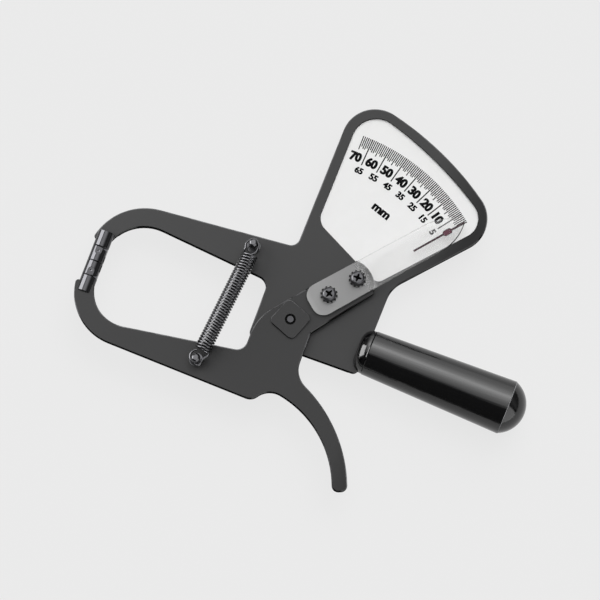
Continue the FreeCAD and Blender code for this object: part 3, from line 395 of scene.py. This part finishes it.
def print_figures(name, words, radius, tall, narrow):
    """Print words upright to the pivot's rays; words are (text, reading) pairs.

    Each is printed three times, a little apart, which makes its strokes heavy.
    """
    figures = bmesh.new()
    for text, reading in words:
        lettering = bpy.data.curves.new(text, "FONT")
        lettering.body = text
        lettering.align_x, lettering.align_y = "CENTER", "CENTER"
        lettering.size = 1.0
        lettering.offset = stroke_spread
        lettering.resolution_u = 4
        holder = bpy.data.objects.new(text, lettering)
        bpy.context.scene.collection.objects.link(holder)
        flat = bpy.data.meshes.new_from_object(holder.evaluated_get(
            bpy.context.evaluated_depsgraph_get()))
        bpy.data.objects.remove(holder)
        heights = [spot.co.y for spot in flat.vertices]
        sides = [spot.co.x for spot in flat.vertices]
        grow = tall / (max(heights) - min(heights)) * mm
        middle = Vector(((max(sides) + min(sides)) / 2, (max(heights) + min(heights)) / 2, 0))
        angle = zero_angle + reading * degrees_per_mm
        flat.transform(Matrix.Diagonal((grow * narrow, grow, 1, 1)) @ Matrix.Translation(-middle))
        for layer in range(3):
            shift, lift = (layer - 1) * stroke_shift, layer * ink_layer
            printed = flat.copy()
            printed.transform(Matrix.Translation(dial_spot(radius, angle) + Vector((0, 0, lift * mm)))
                              @ Matrix.Rotation(math.radians(angle - 90), 4, "Z")
                              @ Matrix.Translation((shift * tall * mm, 0, 0)))
            figures.from_mesh(printed)
            bpy.data.meshes.remove(printed)
        bpy.data.meshes.remove(flat)
    mesh = bpy.data.meshes.new(name)
    figures.to_mesh(mesh)
    figures.free()
    piece = new_piece(name, mesh, screen_ink)
    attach(piece, "frame")


print_figures("dial_tens", [(str(n), n) for n in range(10, 80, 10)], radius=90.7, tall=5.0, narrow=0.93)
print_figures("dial_odd_fives", [(str(n), n) for n in range(5, 75, 10)], radius=84.6, tall=3.4, narrow=1)
print_figures("dial_unit", [("mm", 38)], radius=72, tall=3.4, narrow=1.05)

# ---- pivot pin and cover plate --------------------------------------------------------------------
# A blacked steel pin stands fixed in the frame plate, and a small aluminium plate in the arm's
# finish is pressed on its end. The arm turns on the pin, under the small plate.

pin_black, pin_light = "#303032", "#4c4c4e"
# painted shade in the groove and on the rim of the pin's end
groove_shade_black = "#0a0a0a"
pin_cloud = 3
pin_land = 3.2

# Blacked steel: a dark metal with a soft shine. Outside the land in the middle of its end, the groove
# and the rim round it are painted near black as shade.
blacked_steel, tree = new_material("oil_blacked_steel")
place = add_node(tree, "ShaderNodeTexCoord")
cloud = add_node(tree, "ShaderNodeTexNoise", {"Scale": 1 / (pin_cloud * mm), "Detail": 4.0},
                 {"Vector": place.outputs["Object"]})
tone = add_node(tree, "ShaderNodeMix",
                {"data_type": "RGBA", 6: linear(pin_black), 7: linear(pin_light)},
                {0: cloud.outputs["Fac"]})
flat = add_node(tree, "ShaderNodeVectorMath", {"operation": "MULTIPLY", 1: (1, 1, 0)},
                {0: place.outputs["Object"]})
reach = add_node(tree, "ShaderNodeVectorMath", {"operation": "LENGTH"}, {0: flat.outputs[0]})
outside = add_node(tree, "ShaderNodeMath", {"operation": "GREATER_THAN", 1: pin_land / 2 * mm},
                   {0: reach.outputs["Value"]})
# painted shade: near black outside the land in the middle, over the groove and the rim
shaded_end = add_node(tree, "ShaderNodeMix", {"data_type": "RGBA", 7: linear(groove_shade_black)},
                  {0: outside.outputs[0], 6: tone.outputs[2]})
dull = add_node(tree, "ShaderNodeMapRange", {"To Min": 0.28, "To Max": 0.42},
                {"Value": cloud.outputs["Fac"]})
skin = add_node(tree, "ShaderNodeBsdfPrincipled", {"Metallic": 1.0},
                {"Base Color": shaded_end.outputs[2], "Roughness": dull.outputs[0]})
add_node(tree, "ShaderNodeOutputMaterial", None, {"Surface": skin.outputs[0]})
finish_node("pivot_pin", blacked_steel)
finish_node("pivot_cover_plate", anodised["moving_arm"])

# ---- pivot bush and thrust washer -----------------------------------------------------------------
# Both are turned from bronze. The bush is pressed into the arm and turns on the pin, and the washer
# lies round the pin between the two plates. Neither shows from outside.

bronze_colour = "#b08d57"
turned_ring = 5.0265   # real tool marks are about 0.1 mm apart; drawn far coarser, as broad rings

# Turned bronze: a warm metal with rings that catch the light. The wave texture has one ring to each
# pi / 10 of its coordinate.
bearing_bronze, tree = new_material("turned_bronze")
place = add_node(tree, "ShaderNodeTexCoord")
rings = add_node(tree, "ShaderNodeTexWave",
                 {"wave_type": "RINGS", "rings_direction": "Z",
                  "Scale": math.pi / 10 / (turned_ring * mm)},
                 {"Vector": place.outputs["Object"]})
dull = add_node(tree, "ShaderNodeMapRange", {"To Min": 0.25, "To Max": 0.4},
                {"Value": rings.outputs["Fac"]})
skin = add_node(tree, "ShaderNodeBsdfPrincipled",
                {"Base Color": linear(bronze_colour), "Metallic": 1.0}, {"Roughness": dull.outputs[0]})
add_node(tree, "ShaderNodeOutputMaterial", None, {"Surface": skin.outputs[0]})
finish_node("pivot_bush", bearing_bronze)
finish_node("thrust_washer", bearing_bronze)

# ---- pointer blade --------------------------------------------------------------------------------
# A 2 mm strip of clear cast acrylic, sawn to shape. Its foot is screwed down on the arm, and its nose
# reaches the ticks of the dial.

acrylic_tint = "#efefef"
sawn_grey = "#3c3e3e"
foot_start, foot_full, foot_end, nose_start = 12, 15, 43, 47   # along the blade, from the pivot
# the milkiness is partly a scuffed underside and partly painted sheen over the black arm
foot_haze_and_sheen, arm_haze_and_sheen, end_haze_and_sheen, clear_haze = 0.43, 0.355, 0.285, 0.08   # how milky it is there
shoulder_start, shoulder_end = 80, 84   # where the slanting cut begins and is fully slanting
side_scatter, nose_scatter = 0.25, 1.0   # how grey the straight edges and the slanting cut look
sawn_facing = 0.5   # a face is a sawn edge where it faces up or down less than this

# Cast acrylic: clear and glossy. It is drawn milky over the foot and the arm, fading toward the
# nose: partly a scuffed underside, and partly painted sheen that stands for light reflected off it
# over black. The sawn edges scatter light and draw a fine grey line, most where the nose was cut
# slanting.
cast_acrylic, tree = new_material("clear_cast_acrylic")
place = add_node(tree, "ShaderNodeTexCoord")
turned = add_node(tree, "ShaderNodeVectorRotate",
                  {"rotation_type": "Z_AXIS", "Angle": -pointer_angle},
                  {"Vector": place.outputs["Object"]})
along = add_node(tree, "ShaderNodeSeparateXYZ", None, {0: turned.outputs[0]})
first = add_node(tree, "ShaderNodeMapRange",
                 {"From Min": foot_start * mm, "From Max": foot_full * mm,
                  "To Min": foot_haze_and_sheen - arm_haze_and_sheen, "To Max": 0.0},
                 {"Value": along.outputs["X"]})
slope = add_node(tree, "ShaderNodeMapRange",
                 {"From Min": foot_full * mm, "From Max": foot_end * mm,
                  "To Min": arm_haze_and_sheen, "To Max": end_haze_and_sheen},
                 {"Value": along.outputs["X"]})
last = add_node(tree, "ShaderNodeMapRange",
                {"From Min": foot_end * mm, "From Max": nose_start * mm,
                 "To Min": 0.0, "To Max": clear_haze - end_haze_and_sheen},
                {"Value": along.outputs["X"]})
# milky alpha along the blade: partly scuffing, partly painted sheen
haze = add_node(tree, "ShaderNodeMath", {"operation": "ADD"},
                {0: first.outputs[0], 1: slope.outputs[0]})
haze = add_node(tree, "ShaderNodeMath", {"operation": "ADD"},
                {0: haze.outputs[0], 1: last.outputs[0]})
form = add_node(tree, "ShaderNodeNewGeometry")
facing = add_node(tree, "ShaderNodeSeparateXYZ", None, {0: form.outputs["True Normal"]})
steep = add_node(tree, "ShaderNodeMath", {"operation": "COMPARE", 1: 0.0, 2: sawn_facing},
                 {0: facing.outputs["Z"]})
sawn = add_node(tree, "ShaderNodeMapRange",
                {"From Min": shoulder_start * mm, "From Max": shoulder_end * mm,
                 "To Min": 0.0, "To Max": nose_scatter - side_scatter},
                {"Value": along.outputs["X"]})
under = add_node(tree, "ShaderNodeMath", {"operation": "LESS_THAN", 1: 0.0}, {0: along.outputs["Y"]})
sawn = add_node(tree, "ShaderNodeMath", {"operation": "MULTIPLY_ADD", 2: side_scatter},
                {0: sawn.outputs[0], 1: under.outputs[0]})
scatter = add_node(tree, "ShaderNodeMath", {"operation": "MULTIPLY"},
                   {0: steep.outputs[0], 1: sawn.outputs[0]})
skin = add_node(tree, "ShaderNodeBsdfPrincipled",
                {"Base Color": linear(acrylic_tint), "Roughness": 0.06, "IOR": 1.49},
                {"Alpha": haze.outputs[0]})
edge = add_node(tree, "ShaderNodeBsdfDiffuse", {"Color": linear(sawn_grey)})
whole = add_node(tree, "ShaderNodeMixShader", None,
                 {0: scatter.outputs[0], 1: skin.outputs[0], 2: edge.outputs[0]})
add_node(tree, "ShaderNodeOutputMaterial", None, {"Surface": whole.outputs[0]})
finish_node("pointer_blade", cast_acrylic)

# ---- scraped rim of the blade's nose --------------------------------------------------------------
# The sharp upper rim of the slanting cut, of the blade's own acrylic, was broken with a scraper,
# which left a narrow dull band along it.

scraped_pale = "#8a8c8c"
rim_wide, rim_lift = 0.32, 0.02
rim_near = 0.01   # how near the blade's top a rim edge lies
scrape_grain = 1.2   # real scraper marks are about 0.2 mm apart; drawn coarser so that they show

# Scraped acrylic: it has lost its gloss and looks grey, paler where the scraper dug in.
scraped_acrylic, tree = new_material("sawn_cast_acrylic")
place = add_node(tree, "ShaderNodeTexCoord")
scrape = add_node(tree, "ShaderNodeTexNoise", {"Scale": 1 / (scrape_grain * mm), "Detail": 2.0},
                  {"Vector": place.outputs["Object"]})
tone = add_node(tree, "ShaderNodeMix",
                {"data_type": "RGBA", 6: linear(sawn_grey), 7: linear(scraped_pale)},
                {0: scrape.outputs["Fac"]})
skin = add_node(tree, "ShaderNodeBsdfDiffuse", None, {"Color": tone.outputs[2]})
add_node(tree, "ShaderNodeOutputMaterial", None, {"Surface": skin.outputs[0]})

blade_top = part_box("pointer_blade")[1][2]
blade_mesh = node["pointer_blade"].data
along_blade = Matrix.Rotation(-pointer_angle, 4, "Z")
scraped = bmesh.new()
for rim_edge in blade_mesh.edges:
    ends = [along_blade @ blade_mesh.vertices[end].co for end in rim_edge.vertices]
    low = min(ends, key=lambda end: end.x)
    high = max(ends, key=lambda end: end.x)
    on_top = min(low.z, high.z) > blade_top - rim_near * mm
    on_nose = low.x > shoulder_start * mm and max(low.y, high.y) < 0
    if on_top and on_nose and (high - low).length > 0:
        inward = Vector((low.y - high.y, high.x - low.x, 0)).normalized() * rim_wide * mm
        lift = Vector((0, 0, rim_lift * mm))
        scraped.faces.new([scraped.verts.new(end + lift)
                           for end in (low, high, high + inward, low + inward)])
scraped_mesh = bpy.data.meshes.new("scraped_nose_rim")
scraped.to_mesh(scraped_mesh)
scraped.free()
scraped_mesh.transform(Matrix.Rotation(pointer_angle, 4, "Z"))
scraped_nose_rim = new_piece("scraped_nose_rim", scraped_mesh, scraped_acrylic)
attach(scraped_nose_rim, "arm")

# ---- pointer hairline -----------------------------------------------------------------------------
# A fine line engraved along the blade's underside and filled with dark red paint, so that it lies
# near the dial. A long spot on it marks where to read.

paint_black, paint_dark, paint_red = "#1c050c", "#3c0a1e", "#620c32"
paint_patch = 1.5
hair_start, hair_end, hair_wide, hair_side = 70.6, 100.2, 1.05, -0.35
spot_middle, spot_long, spot_wide, spot_shoulder = 90.2, 4.1, 2.4, 1.35
spot_end, spot_rim = 0.22, 1.25   # half the width of its ends, and its dark rim, as shares of it
hair_lift, paint_layer = 0.04, 0.01
hair_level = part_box("pointer_blade")[0][2] / mm + hair_lift

# Filled engraving: a matt paint, near black where the cut is narrow and redder in the spot.
paints = []
for name, thin, thick in (("dark_filled_engraving", paint_black, paint_dark),
                          ("red_filled_engraving", paint_dark, paint_red)):
    filled_engraving, tree = new_material(name)
    place = add_node(tree, "ShaderNodeTexCoord")
    uneven = add_node(tree, "ShaderNodeTexNoise", {"Scale": 1 / (paint_patch * mm), "Detail": 2.0},
                      {"Vector": place.outputs["Object"]})
    tone = add_node(tree, "ShaderNodeMix", {"data_type": "RGBA", 6: linear(thin), 7: linear(thick)},
                    {0: uneven.outputs["Fac"]})
    skin = add_node(tree, "ShaderNodeBsdfDiffuse", None, {"Color": tone.outputs[2]})
    add_node(tree, "ShaderNodeOutputMaterial", None, {"Surface": skin.outputs[0]})
    paints.append(filled_engraving)

line = ((hair_start, -hair_wide / 2), (hair_end, -hair_wide / 2),
        (hair_end, hair_wide / 2), (hair_start, hair_wide / 2))
half_outline = ((spot_long / 2, -spot_wide * spot_end), (spot_long / 2, spot_wide * spot_end),
                (spot_shoulder, spot_wide / 2), (-spot_shoulder, spot_wide / 2))
outline = [*half_outline, *((-x, -y) for x, y in half_outline)]
spot =[(spot_middle + x, y) for x, y in outline]
rim = [(spot_middle + x * spot_rim, y * spot_rim) for x, y in outline]
hairline = bmesh.new()
for layer, shape in enumerate((line, rim, spot)):
    level = hair_level + layer * paint_layer
    hairline.faces.new([hairline.verts.new(Vector((x, y + hair_side, level)) * mm) for x, y in shape])
hair_mesh = bpy.data.meshes.new("pointer_hairline")
hairline.to_mesh(hair_mesh)
hairline.free()
hair_mesh.transform(Matrix.Rotation(pointer_angle, 4, "Z"))
pointer_hairline = new_piece("pointer_hairline", hair_mesh, paints[0])
hair_mesh.materials.append(paints[1])
hair_mesh.polygons.foreach_set("material_index", (0, 0, 1))   # dark line and rim, redder spot
pointer_hairline.visible_shadow = False   # paint inside the clear blade hardly shades the dial
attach(pointer_hairline, "arm")

# ---- pointer screws -------------------------------------------------------------------------------
# Two steel pan head screws with cross recesses, zinc plated and blackened. They hold the blade's
# foot down on the arm.

head_light, head_dark = "#5e5e60", "#323234"
# painted shade in the cross recess
recess_shade_black = "#050505"
plating_cloud = 1.5
head_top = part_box("pointer_screws")[1][2]
# The recess's sides lie less than recess_wall below the head's top, and its floor lies more than
# recess_floor below it. A side faces up less than wall_lean, and the floor more than floor_facing.
recess_wall, recess_floor = 0.9, 1.0
wall_lean, floor_facing = 0.4, 0.98

# Black zinc: a satin dark metal, worn lighter in patches. The recess is painted black as shade: its
# steep sides near the top of the head, and its flat floor.
black_zinc, tree = new_material("black_zinc_plated_steel")
place = add_node(tree, "ShaderNodeTexCoord")
cloud = add_node(tree, "ShaderNodeTexNoise", {"Scale": 1 / (plating_cloud * mm), "Detail": 3.0},
                 {"Vector": place.outputs["Object"]})
tone = add_node(tree, "ShaderNodeMix",
                {"data_type": "RGBA", 6: linear(head_dark), 7: linear(head_light)},
                {0: cloud.outputs["Fac"]})
level = add_node(tree, "ShaderNodeSeparateXYZ", None, {0: place.outputs["Object"]})
form = add_node(tree, "ShaderNodeNewGeometry")
facing = add_node(tree, "ShaderNodeSeparateXYZ", None, {0: form.outputs["True Normal"]})
steep = add_node(tree, "ShaderNodeMath", {"operation": "COMPARE", 1: 0.0, 2: wall_lean},
                 {0: facing.outputs["Z"]})
high = add_node(tree, "ShaderNodeMath", {"operation": "GREATER_THAN", 1: head_top - recess_wall * mm},
                {0: level.outputs["Z"]})
side = add_node(tree, "ShaderNodeMath", {"operation": "MULTIPLY"},
                {0: steep.outputs[0], 1: high.outputs[0]})
flat = add_node(tree, "ShaderNodeMath", {"operation": "GREATER_THAN", 1: floor_facing},
                {0: facing.outputs["Z"]})
low = add_node(tree, "ShaderNodeMath", {"operation": "LESS_THAN", 1: head_top - recess_floor * mm},
               {0: level.outputs["Z"]})
floor = add_node(tree, "ShaderNodeMath", {"operation": "MULTIPLY"},
                 {0: flat.outputs[0], 1: low.outputs[0]})
recess = add_node(tree, "ShaderNodeMath", {"operation": "MAXIMUM"},
                  {0: side.outputs[0], 1: floor.outputs[0]})
# painted shade: the recess's steep upper sides and its floor turn black
shaded_recess = add_node(tree, "ShaderNodeMix", {"data_type": "RGBA", 7: linear(recess_shade_black)},
                 {0: recess.outputs[0], 6: tone.outputs[2]})
dull = add_node(tree, "ShaderNodeMapRange", {"To Min": 0.3, "To Max": 0.45},
                {"Value": cloud.outputs["Fac"]})
skin = add_node(tree, "ShaderNodeBsdfPrincipled", {"Metallic": 1.0},
                {"Base Color": shaded_recess.outputs[2], "Roughness": dull.outputs[0]})
add_node(tree, "ShaderNodeOutputMaterial", None, {"Surface": skin.outputs[0]})
finish_node("pointer_screws", black_zinc)

# ---- pointer lock washers -------------------------------------------------------------------------
# A spring steel washer with outward teeth lies under each screw head, where its teeth bite. Both are
# stamped, hardened and phosphated.

phosphate_black, phosphate_pale = "#09090a", "#121213"
phosphate_grain = 0.4   # the real crystals are far finer; drawn coarser so that they show

# Phosphated steel: a dead black that hardly shines, with a very fine crystal grain.
phosphated_steel, tree = new_material("phosphated_spring_steel")
place = add_node(tree, "ShaderNodeTexCoord")
grain = add_node(tree, "ShaderNodeTexNoise", {"Scale": 1 / (phosphate_grain * mm), "Detail": 2.0},
                 {"Vector": place.outputs["Object"]})
tone = add_node(tree, "ShaderNodeMix",
                {"data_type": "RGBA", 6: linear(phosphate_black), 7: linear(phosphate_pale)},
                {0: grain.outputs["Fac"]})
skin = add_node(tree, "ShaderNodeBsdfPrincipled", {"Metallic": 0.5, "Roughness": 0.5},
                {"Base Color": tone.outputs[2]})
add_node(tree, "ShaderNodeOutputMaterial", None, {"Surface": skin.outputs[0]})
finish_node("pointer_lock_washers", phosphated_steel)

# ---- tips -----------------------------------------------------------------------------------------
# Round steel tips, turned, blacked and lightly polished. Each pad swivels on a cross pin whose ends
# are spun over.

tip_black = "#464648"
turned_band = 3.1416   # real tool marks are about 0.1 mm apart; drawn far coarser, as broad bands

# Turned and blacked steel: a dark mirror along the round, a little hazy from the tool marks.
turned_steel, tree = new_material("blacked_turned_steel")
place = add_node(tree, "ShaderNodeTexCoord")
marks = add_node(tree, "ShaderNodeTexWave",
                 {"wave_type": "BANDS", "bands_direction": "Y",
                  "Scale": math.pi / 10 / (turned_band * mm), "Distortion": 0.5},
                 {"Vector": place.outputs["Object"]})
dull = add_node(tree, "ShaderNodeMapRange", {"To Min": 0.08, "To Max": 0.15},
                {"Value": marks.outputs["Fac"]})
skin = add_node(tree, "ShaderNodeBsdfPrincipled", {"Base Color": linear(tip_black), "Metallic": 1.0},
                {"Roughness": dull.outputs[0]})
add_node(tree, "ShaderNodeOutputMaterial", None, {"Surface": skin.outputs[0]})
for name in ("upper_tip_stub", "upper_tip_pad", "upper_pad_pin",
             "lower_tip_stub", "lower_tip_pad", "lower_pad_pin"):
    finish_node(name, turned_steel)

# ---- spring posts ---------------------------------------------------------------------------------
# Two steel posts with round heads, turned bright. Each is riveted through its plate, one through the
# frame plate and one through the arm.

post_grey = "#525254"
post_smudge = 2

# Bright turned steel: it mirrors the light as a sharp spot, over faint smudges.
bright_steel, tree = new_material("bright_turned_steel")
place = add_node(tree, "ShaderNodeTexCoord")
smudge = add_node(tree, "ShaderNodeTexNoise", {"Scale": 1 / (post_smudge * mm), "Detail": 4.0},
                  {"Vector": place.outputs["Object"]})
dull = add_node(tree, "ShaderNodeMapRange", {"To Min": 0.14, "To Max": 0.3},
                {"Value": smudge.outputs["Fac"]})
skin = add_node(tree, "ShaderNodeBsdfPrincipled", {"Base Color": linear(post_grey), "Metallic": 1.0},
                {"Roughness": dull.outputs[0]})
add_node(tree, "ShaderNodeOutputMaterial", None, {"Surface": skin.outputs[0]})
finish_node("upper_spring_post", bright_steel)
finish_node("lower_spring_post", bright_steel)

# ---- spring ---------------------------------------------------------------------------------------
# A tension spring wound from music wire, with a loop at each end that is hooked round its post. It
# pulls the tips together.

upper_post = Vector((-30.2, 29.1, 11.0))
lower_post = Vector((-36.9, -35.0, 11.0))
wire_thick = 1.1
coil_wide = 8.5
coil_turns = 37
turn_steps = 24
coil_start = 5.5   # from the post
coil_aside = 1.1   # the loops were bent a little off the coil's middle
upper_loop = (1.9, 4.05, 3.25, 0.0)   # middle, half length, half width and corner of the loop
lower_loop = (1.05, 3.3, 3.3, 0.38)
loop_start, loop_end, loop_step = 25, 275, 6   # degrees round the post
corner_angle, corner_sharpness = 217, 12   # where the loop's corner is, and how short its bend
# The wire from the loop into the coil: how far before the coil, out as a share of its radius, height.
neck = ((1.9, 0.97, 0.0), (0.9, 1.0, -0.1), (0.4, 1.0, -0.5))

wire_dark, wire_light = "#464648", "#626264"
draw_patch = 1.5

# Music wire: oil tempered to near black and smooth from drawing, so each turn carries a thin bright
# line.
music_wire, tree = new_material("blacked_music_wire")
place = add_node(tree, "ShaderNodeTexCoord")
drawn = add_node(tree, "ShaderNodeTexNoise", {"Scale": 1 / (draw_patch * mm), "Detail": 3.0},
                 {"Vector": place.outputs["Object"]})
tone = add_node(tree, "ShaderNodeMix",
                {"data_type": "RGBA", 6: linear(wire_dark), 7: linear(wire_light)},
                {0: drawn.outputs["Fac"]})
skin = add_node(tree, "ShaderNodeBsdfPrincipled", {"Metallic": 1.0, "Roughness": 0.2},
                {"Base Color": tone.outputs[2]})
add_node(tree, "ShaderNodeOutputMaterial", None, {"Surface": skin.outputs[0]})

span = (lower_post - upper_post).length
pitch = (span - 2 * coil_start) / coil_turns
coil_radius = (coil_wide - wire_thick) / 2


def hook_route(middle, half_length, half_width, corner, aside):
    """The wire of a hook from its free end round the post to the coil, with the post at 0, 0."""
    spots = []
    for turn in range(loop_start, loop_end, loop_step):
        angle = math.radians(turn)
        at_corner = max(0, math.cos(angle - math.radians(corner_angle))) ** corner_sharpness
        swell = 1 + corner * at_corner
        spots.append(Vector((middle + half_length * swell * math.cos(angle),
                             half_width * swell * math.sin(angle), 0)))
    for before, share, height in neck:
        spots.append(Vector((coil_start - before, aside - coil_radius * share, height)))
    return spots


route = hook_route(*upper_loop, coil_aside)
for step in range(2, int(coil_turns * turn_steps) - 1):
    angle = math.pi + 2 * math.pi * step / turn_steps
    route.append(Vector((coil_start + pitch * step / turn_steps,
                         coil_aside + coil_radius * math.cos(angle), coil_radius * math.sin(angle))))
for spot in reversed(hook_route(*lower_loop, -coil_aside)):
    route.append(Vector((span - spot.x, -spot.y, spot.z)))

wire = bpy.data.curves.new("spring_wire", "CURVE")
wire.dimensions = "3D"
wire.bevel_depth = wire_thick / 2 * mm
wire.bevel_resolution = 3
wire.use_fill_caps = True
thread = wire.splines.new("POLY")
thread.points.add(len(route) - 1)
for spot, point in zip(route, thread.points):
    point.co = (spot.x * mm, spot.y * mm, spot.z * mm, 1)
holder = bpy.data.objects.new("spring_wire", wire)
bpy.context.scene.collection.objects.link(holder)
wound = bpy.data.meshes.new_from_object(holder.evaluated_get(bpy.context.evaluated_depsgraph_get()))
bpy.data.objects.remove(holder)
run = lower_post - upper_post
wound.transform(Matrix.Translation(upper_post * mm) @ Matrix.Rotation(math.atan2(run.y, run.x), 4, "Z"))
wound.shade_smooth()
wound_spring = new_piece("wound_spring", wound, music_wire)
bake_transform(wound_spring)
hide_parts("tension_spring", "spring_lower_hook")

# ---- handle grip, collar and cap ------------------------------------------------------------------
# A tapered grip with a rounded collar in front and a domed cap behind, injection moulded in glossy
# black ABS. The grip is pushed over the core, and the cap closes its open end.

handle_black = "#080809"
mould_wave, wave_depth = 14, 0.4
line_spacing, line_long = 0.7, 26   # real polishing lines are finer; drawn coarser so that they show
line_depth = 0.05

# Glossy ABS: a black shine with a very slight waviness, and fine lines along it where the mould was
# polished lengthwise.
glossy_abs, tree = new_material("glossy_black_abs")
place = add_node(tree, "ShaderNodeTexCoord")
wave = add_node(tree, "ShaderNodeTexNoise", {"Scale": 1 / (mould_wave * mm), "Detail": 1.0},
                {"Vector": place.outputs["Object"]})
soft = add_node(tree, "ShaderNodeBump", {"Strength": 0.08, "Distance": wave_depth * mm},
                {"Height": wave.outputs["Fac"]})
drawn = add_node(tree, "ShaderNodeVectorMath",
                 {"operation": "MULTIPLY", 1: (line_spacing / line_long, 1, 1)},
                 {0: place.outputs["Object"]})
lines = add_node(tree, "ShaderNodeTexNoise", {"Scale": 1 / (line_spacing * mm), "Detail": 3.0},
                 {"Vector": drawn.outputs[0]})
fine = add_node(tree, "ShaderNodeBump", {"Strength": 0.5, "Distance": line_depth * mm},
                {"Height": lines.outputs["Fac"], "Normal": soft.outputs[0]})
haze = add_node(tree, "ShaderNodeMapRange",
                {"From Min": 0.3, "From Max": 0.7, "To Min": 0.08, "To Max": 0.19},
                {"Value": lines.outputs["Fac"]})
skin = add_node(tree, "ShaderNodeBsdfPrincipled", {"Base Color": linear(handle_black), "IOR": 1.54},
                {"Roughness": haze.outputs[0], "Normal": fine.outputs[0]})
add_node(tree, "ShaderNodeOutputMaterial", None, {"Surface": skin.outputs[0]})
for name in ("handle_collar", "handle_grip", "handle_end_cap"):
    finish_node(name, glossy_abs)

# ---- cement bead of the cap -----------------------------------------------------------------------
# The domed cap is fixed on the grip with solvent cement. A fine bead of it was squeezed out all
# round the joint when the two were pressed together.

cement_grey, cement_pale = "#6e6e70", "#868688"
cement_patch = 3
handle_middle, handle_turn = Vector((79.585, -2.865, 1.5)), math.radians(-2)
bead_rows = ((35.93, 13.72), (36.1, 13.74), (36.34, 13.46))   # along the handle, and out from its axis
bead_steps = 96

# Solvent cement: it dries dull and pale, a little uneven round the joint.
dried_cement, tree = new_material("dried_solvent_cement")
place = add_node(tree, "ShaderNodeTexCoord")
patch = add_node(tree, "ShaderNodeTexNoise", {"Scale": 1 / (cement_patch * mm), "Detail": 2.0},
                 {"Vector": place.outputs["Object"]})
tone = add_node(tree, "ShaderNodeMix",
                {"data_type": "RGBA", 6: linear(cement_grey), 7: linear(cement_pale)},
                {0: patch.outputs["Fac"]})
skin = add_node(tree, "ShaderNodeBsdfPrincipled", {"Roughness": 0.5}, {"Base Color": tone.outputs[2]})
add_node(tree, "ShaderNodeOutputMaterial", None, {"Surface": skin.outputs[0]})

bead = bmesh.new()
rounds = []
for along, out in bead_rows:
    turns = [2 * math.pi * step / bead_steps for step in range(bead_steps)]
    rounds.append([bead.verts.new((along * mm, out * math.cos(turn) * mm, out * math.sin(turn) * mm))
                   for turn in turns])
for one, other in zip(rounds, rounds[1:]):
    for step in range(bead_steps):
        after = (step + 1) % bead_steps
        bead.faces.new((one[step], one[after], other[after], other[step]))
bead_mesh = bpy.data.meshes.new("cap_cement_bead")
bead.to_mesh(bead_mesh)
bead.free()
bead_mesh.transform(Matrix.Translation(handle_middle * mm) @ Matrix.Rotation(handle_turn, 4, "Z"))
bead_mesh.shade_smooth()
cap_cement_bead = new_piece("cap_cement_bead", bead_mesh, dried_cement)
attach(cap_cement_bead, "frame")

# ---- handle core and rivets -----------------------------------------------------------------------
# Inside the grip a moulded nylon core holds the frame plate's tang. Two rivets of the posts' steel
# go across through both, and none of it shows from outside.

nylon_grey, nylon_pale = "#6a6a6b", "#7a7a7a"
nylon_flow = 5

# Moulded nylon: a dull grey, a little paler along the paths where it flowed into the mould.
moulded_nylon, tree = new_material("grey_moulded_nylon")
place = add_node(tree, "ShaderNodeTexCoord")
flow = add_node(tree, "ShaderNodeTexNoise", {"Scale": 1 / (nylon_flow * mm), "Detail": 3.0},
                {"Vector": place.outputs["Object"]})
tone = add_node(tree, "ShaderNodeMix",
                {"data_type": "RGBA", 6: linear(nylon_grey), 7: linear(nylon_pale)},
                {0: flow.outputs["Fac"]})
skin = add_node(tree, "ShaderNodeBsdfPrincipled", {"Roughness": 0.5}, {"Base Color": tone.outputs[2]})
add_node(tree, "ShaderNodeOutputMaterial", None, {"Surface": skin.outputs[0]})
finish_node("handle_core", moulded_nylon)
finish_node("handle_rivets", bright_steel)
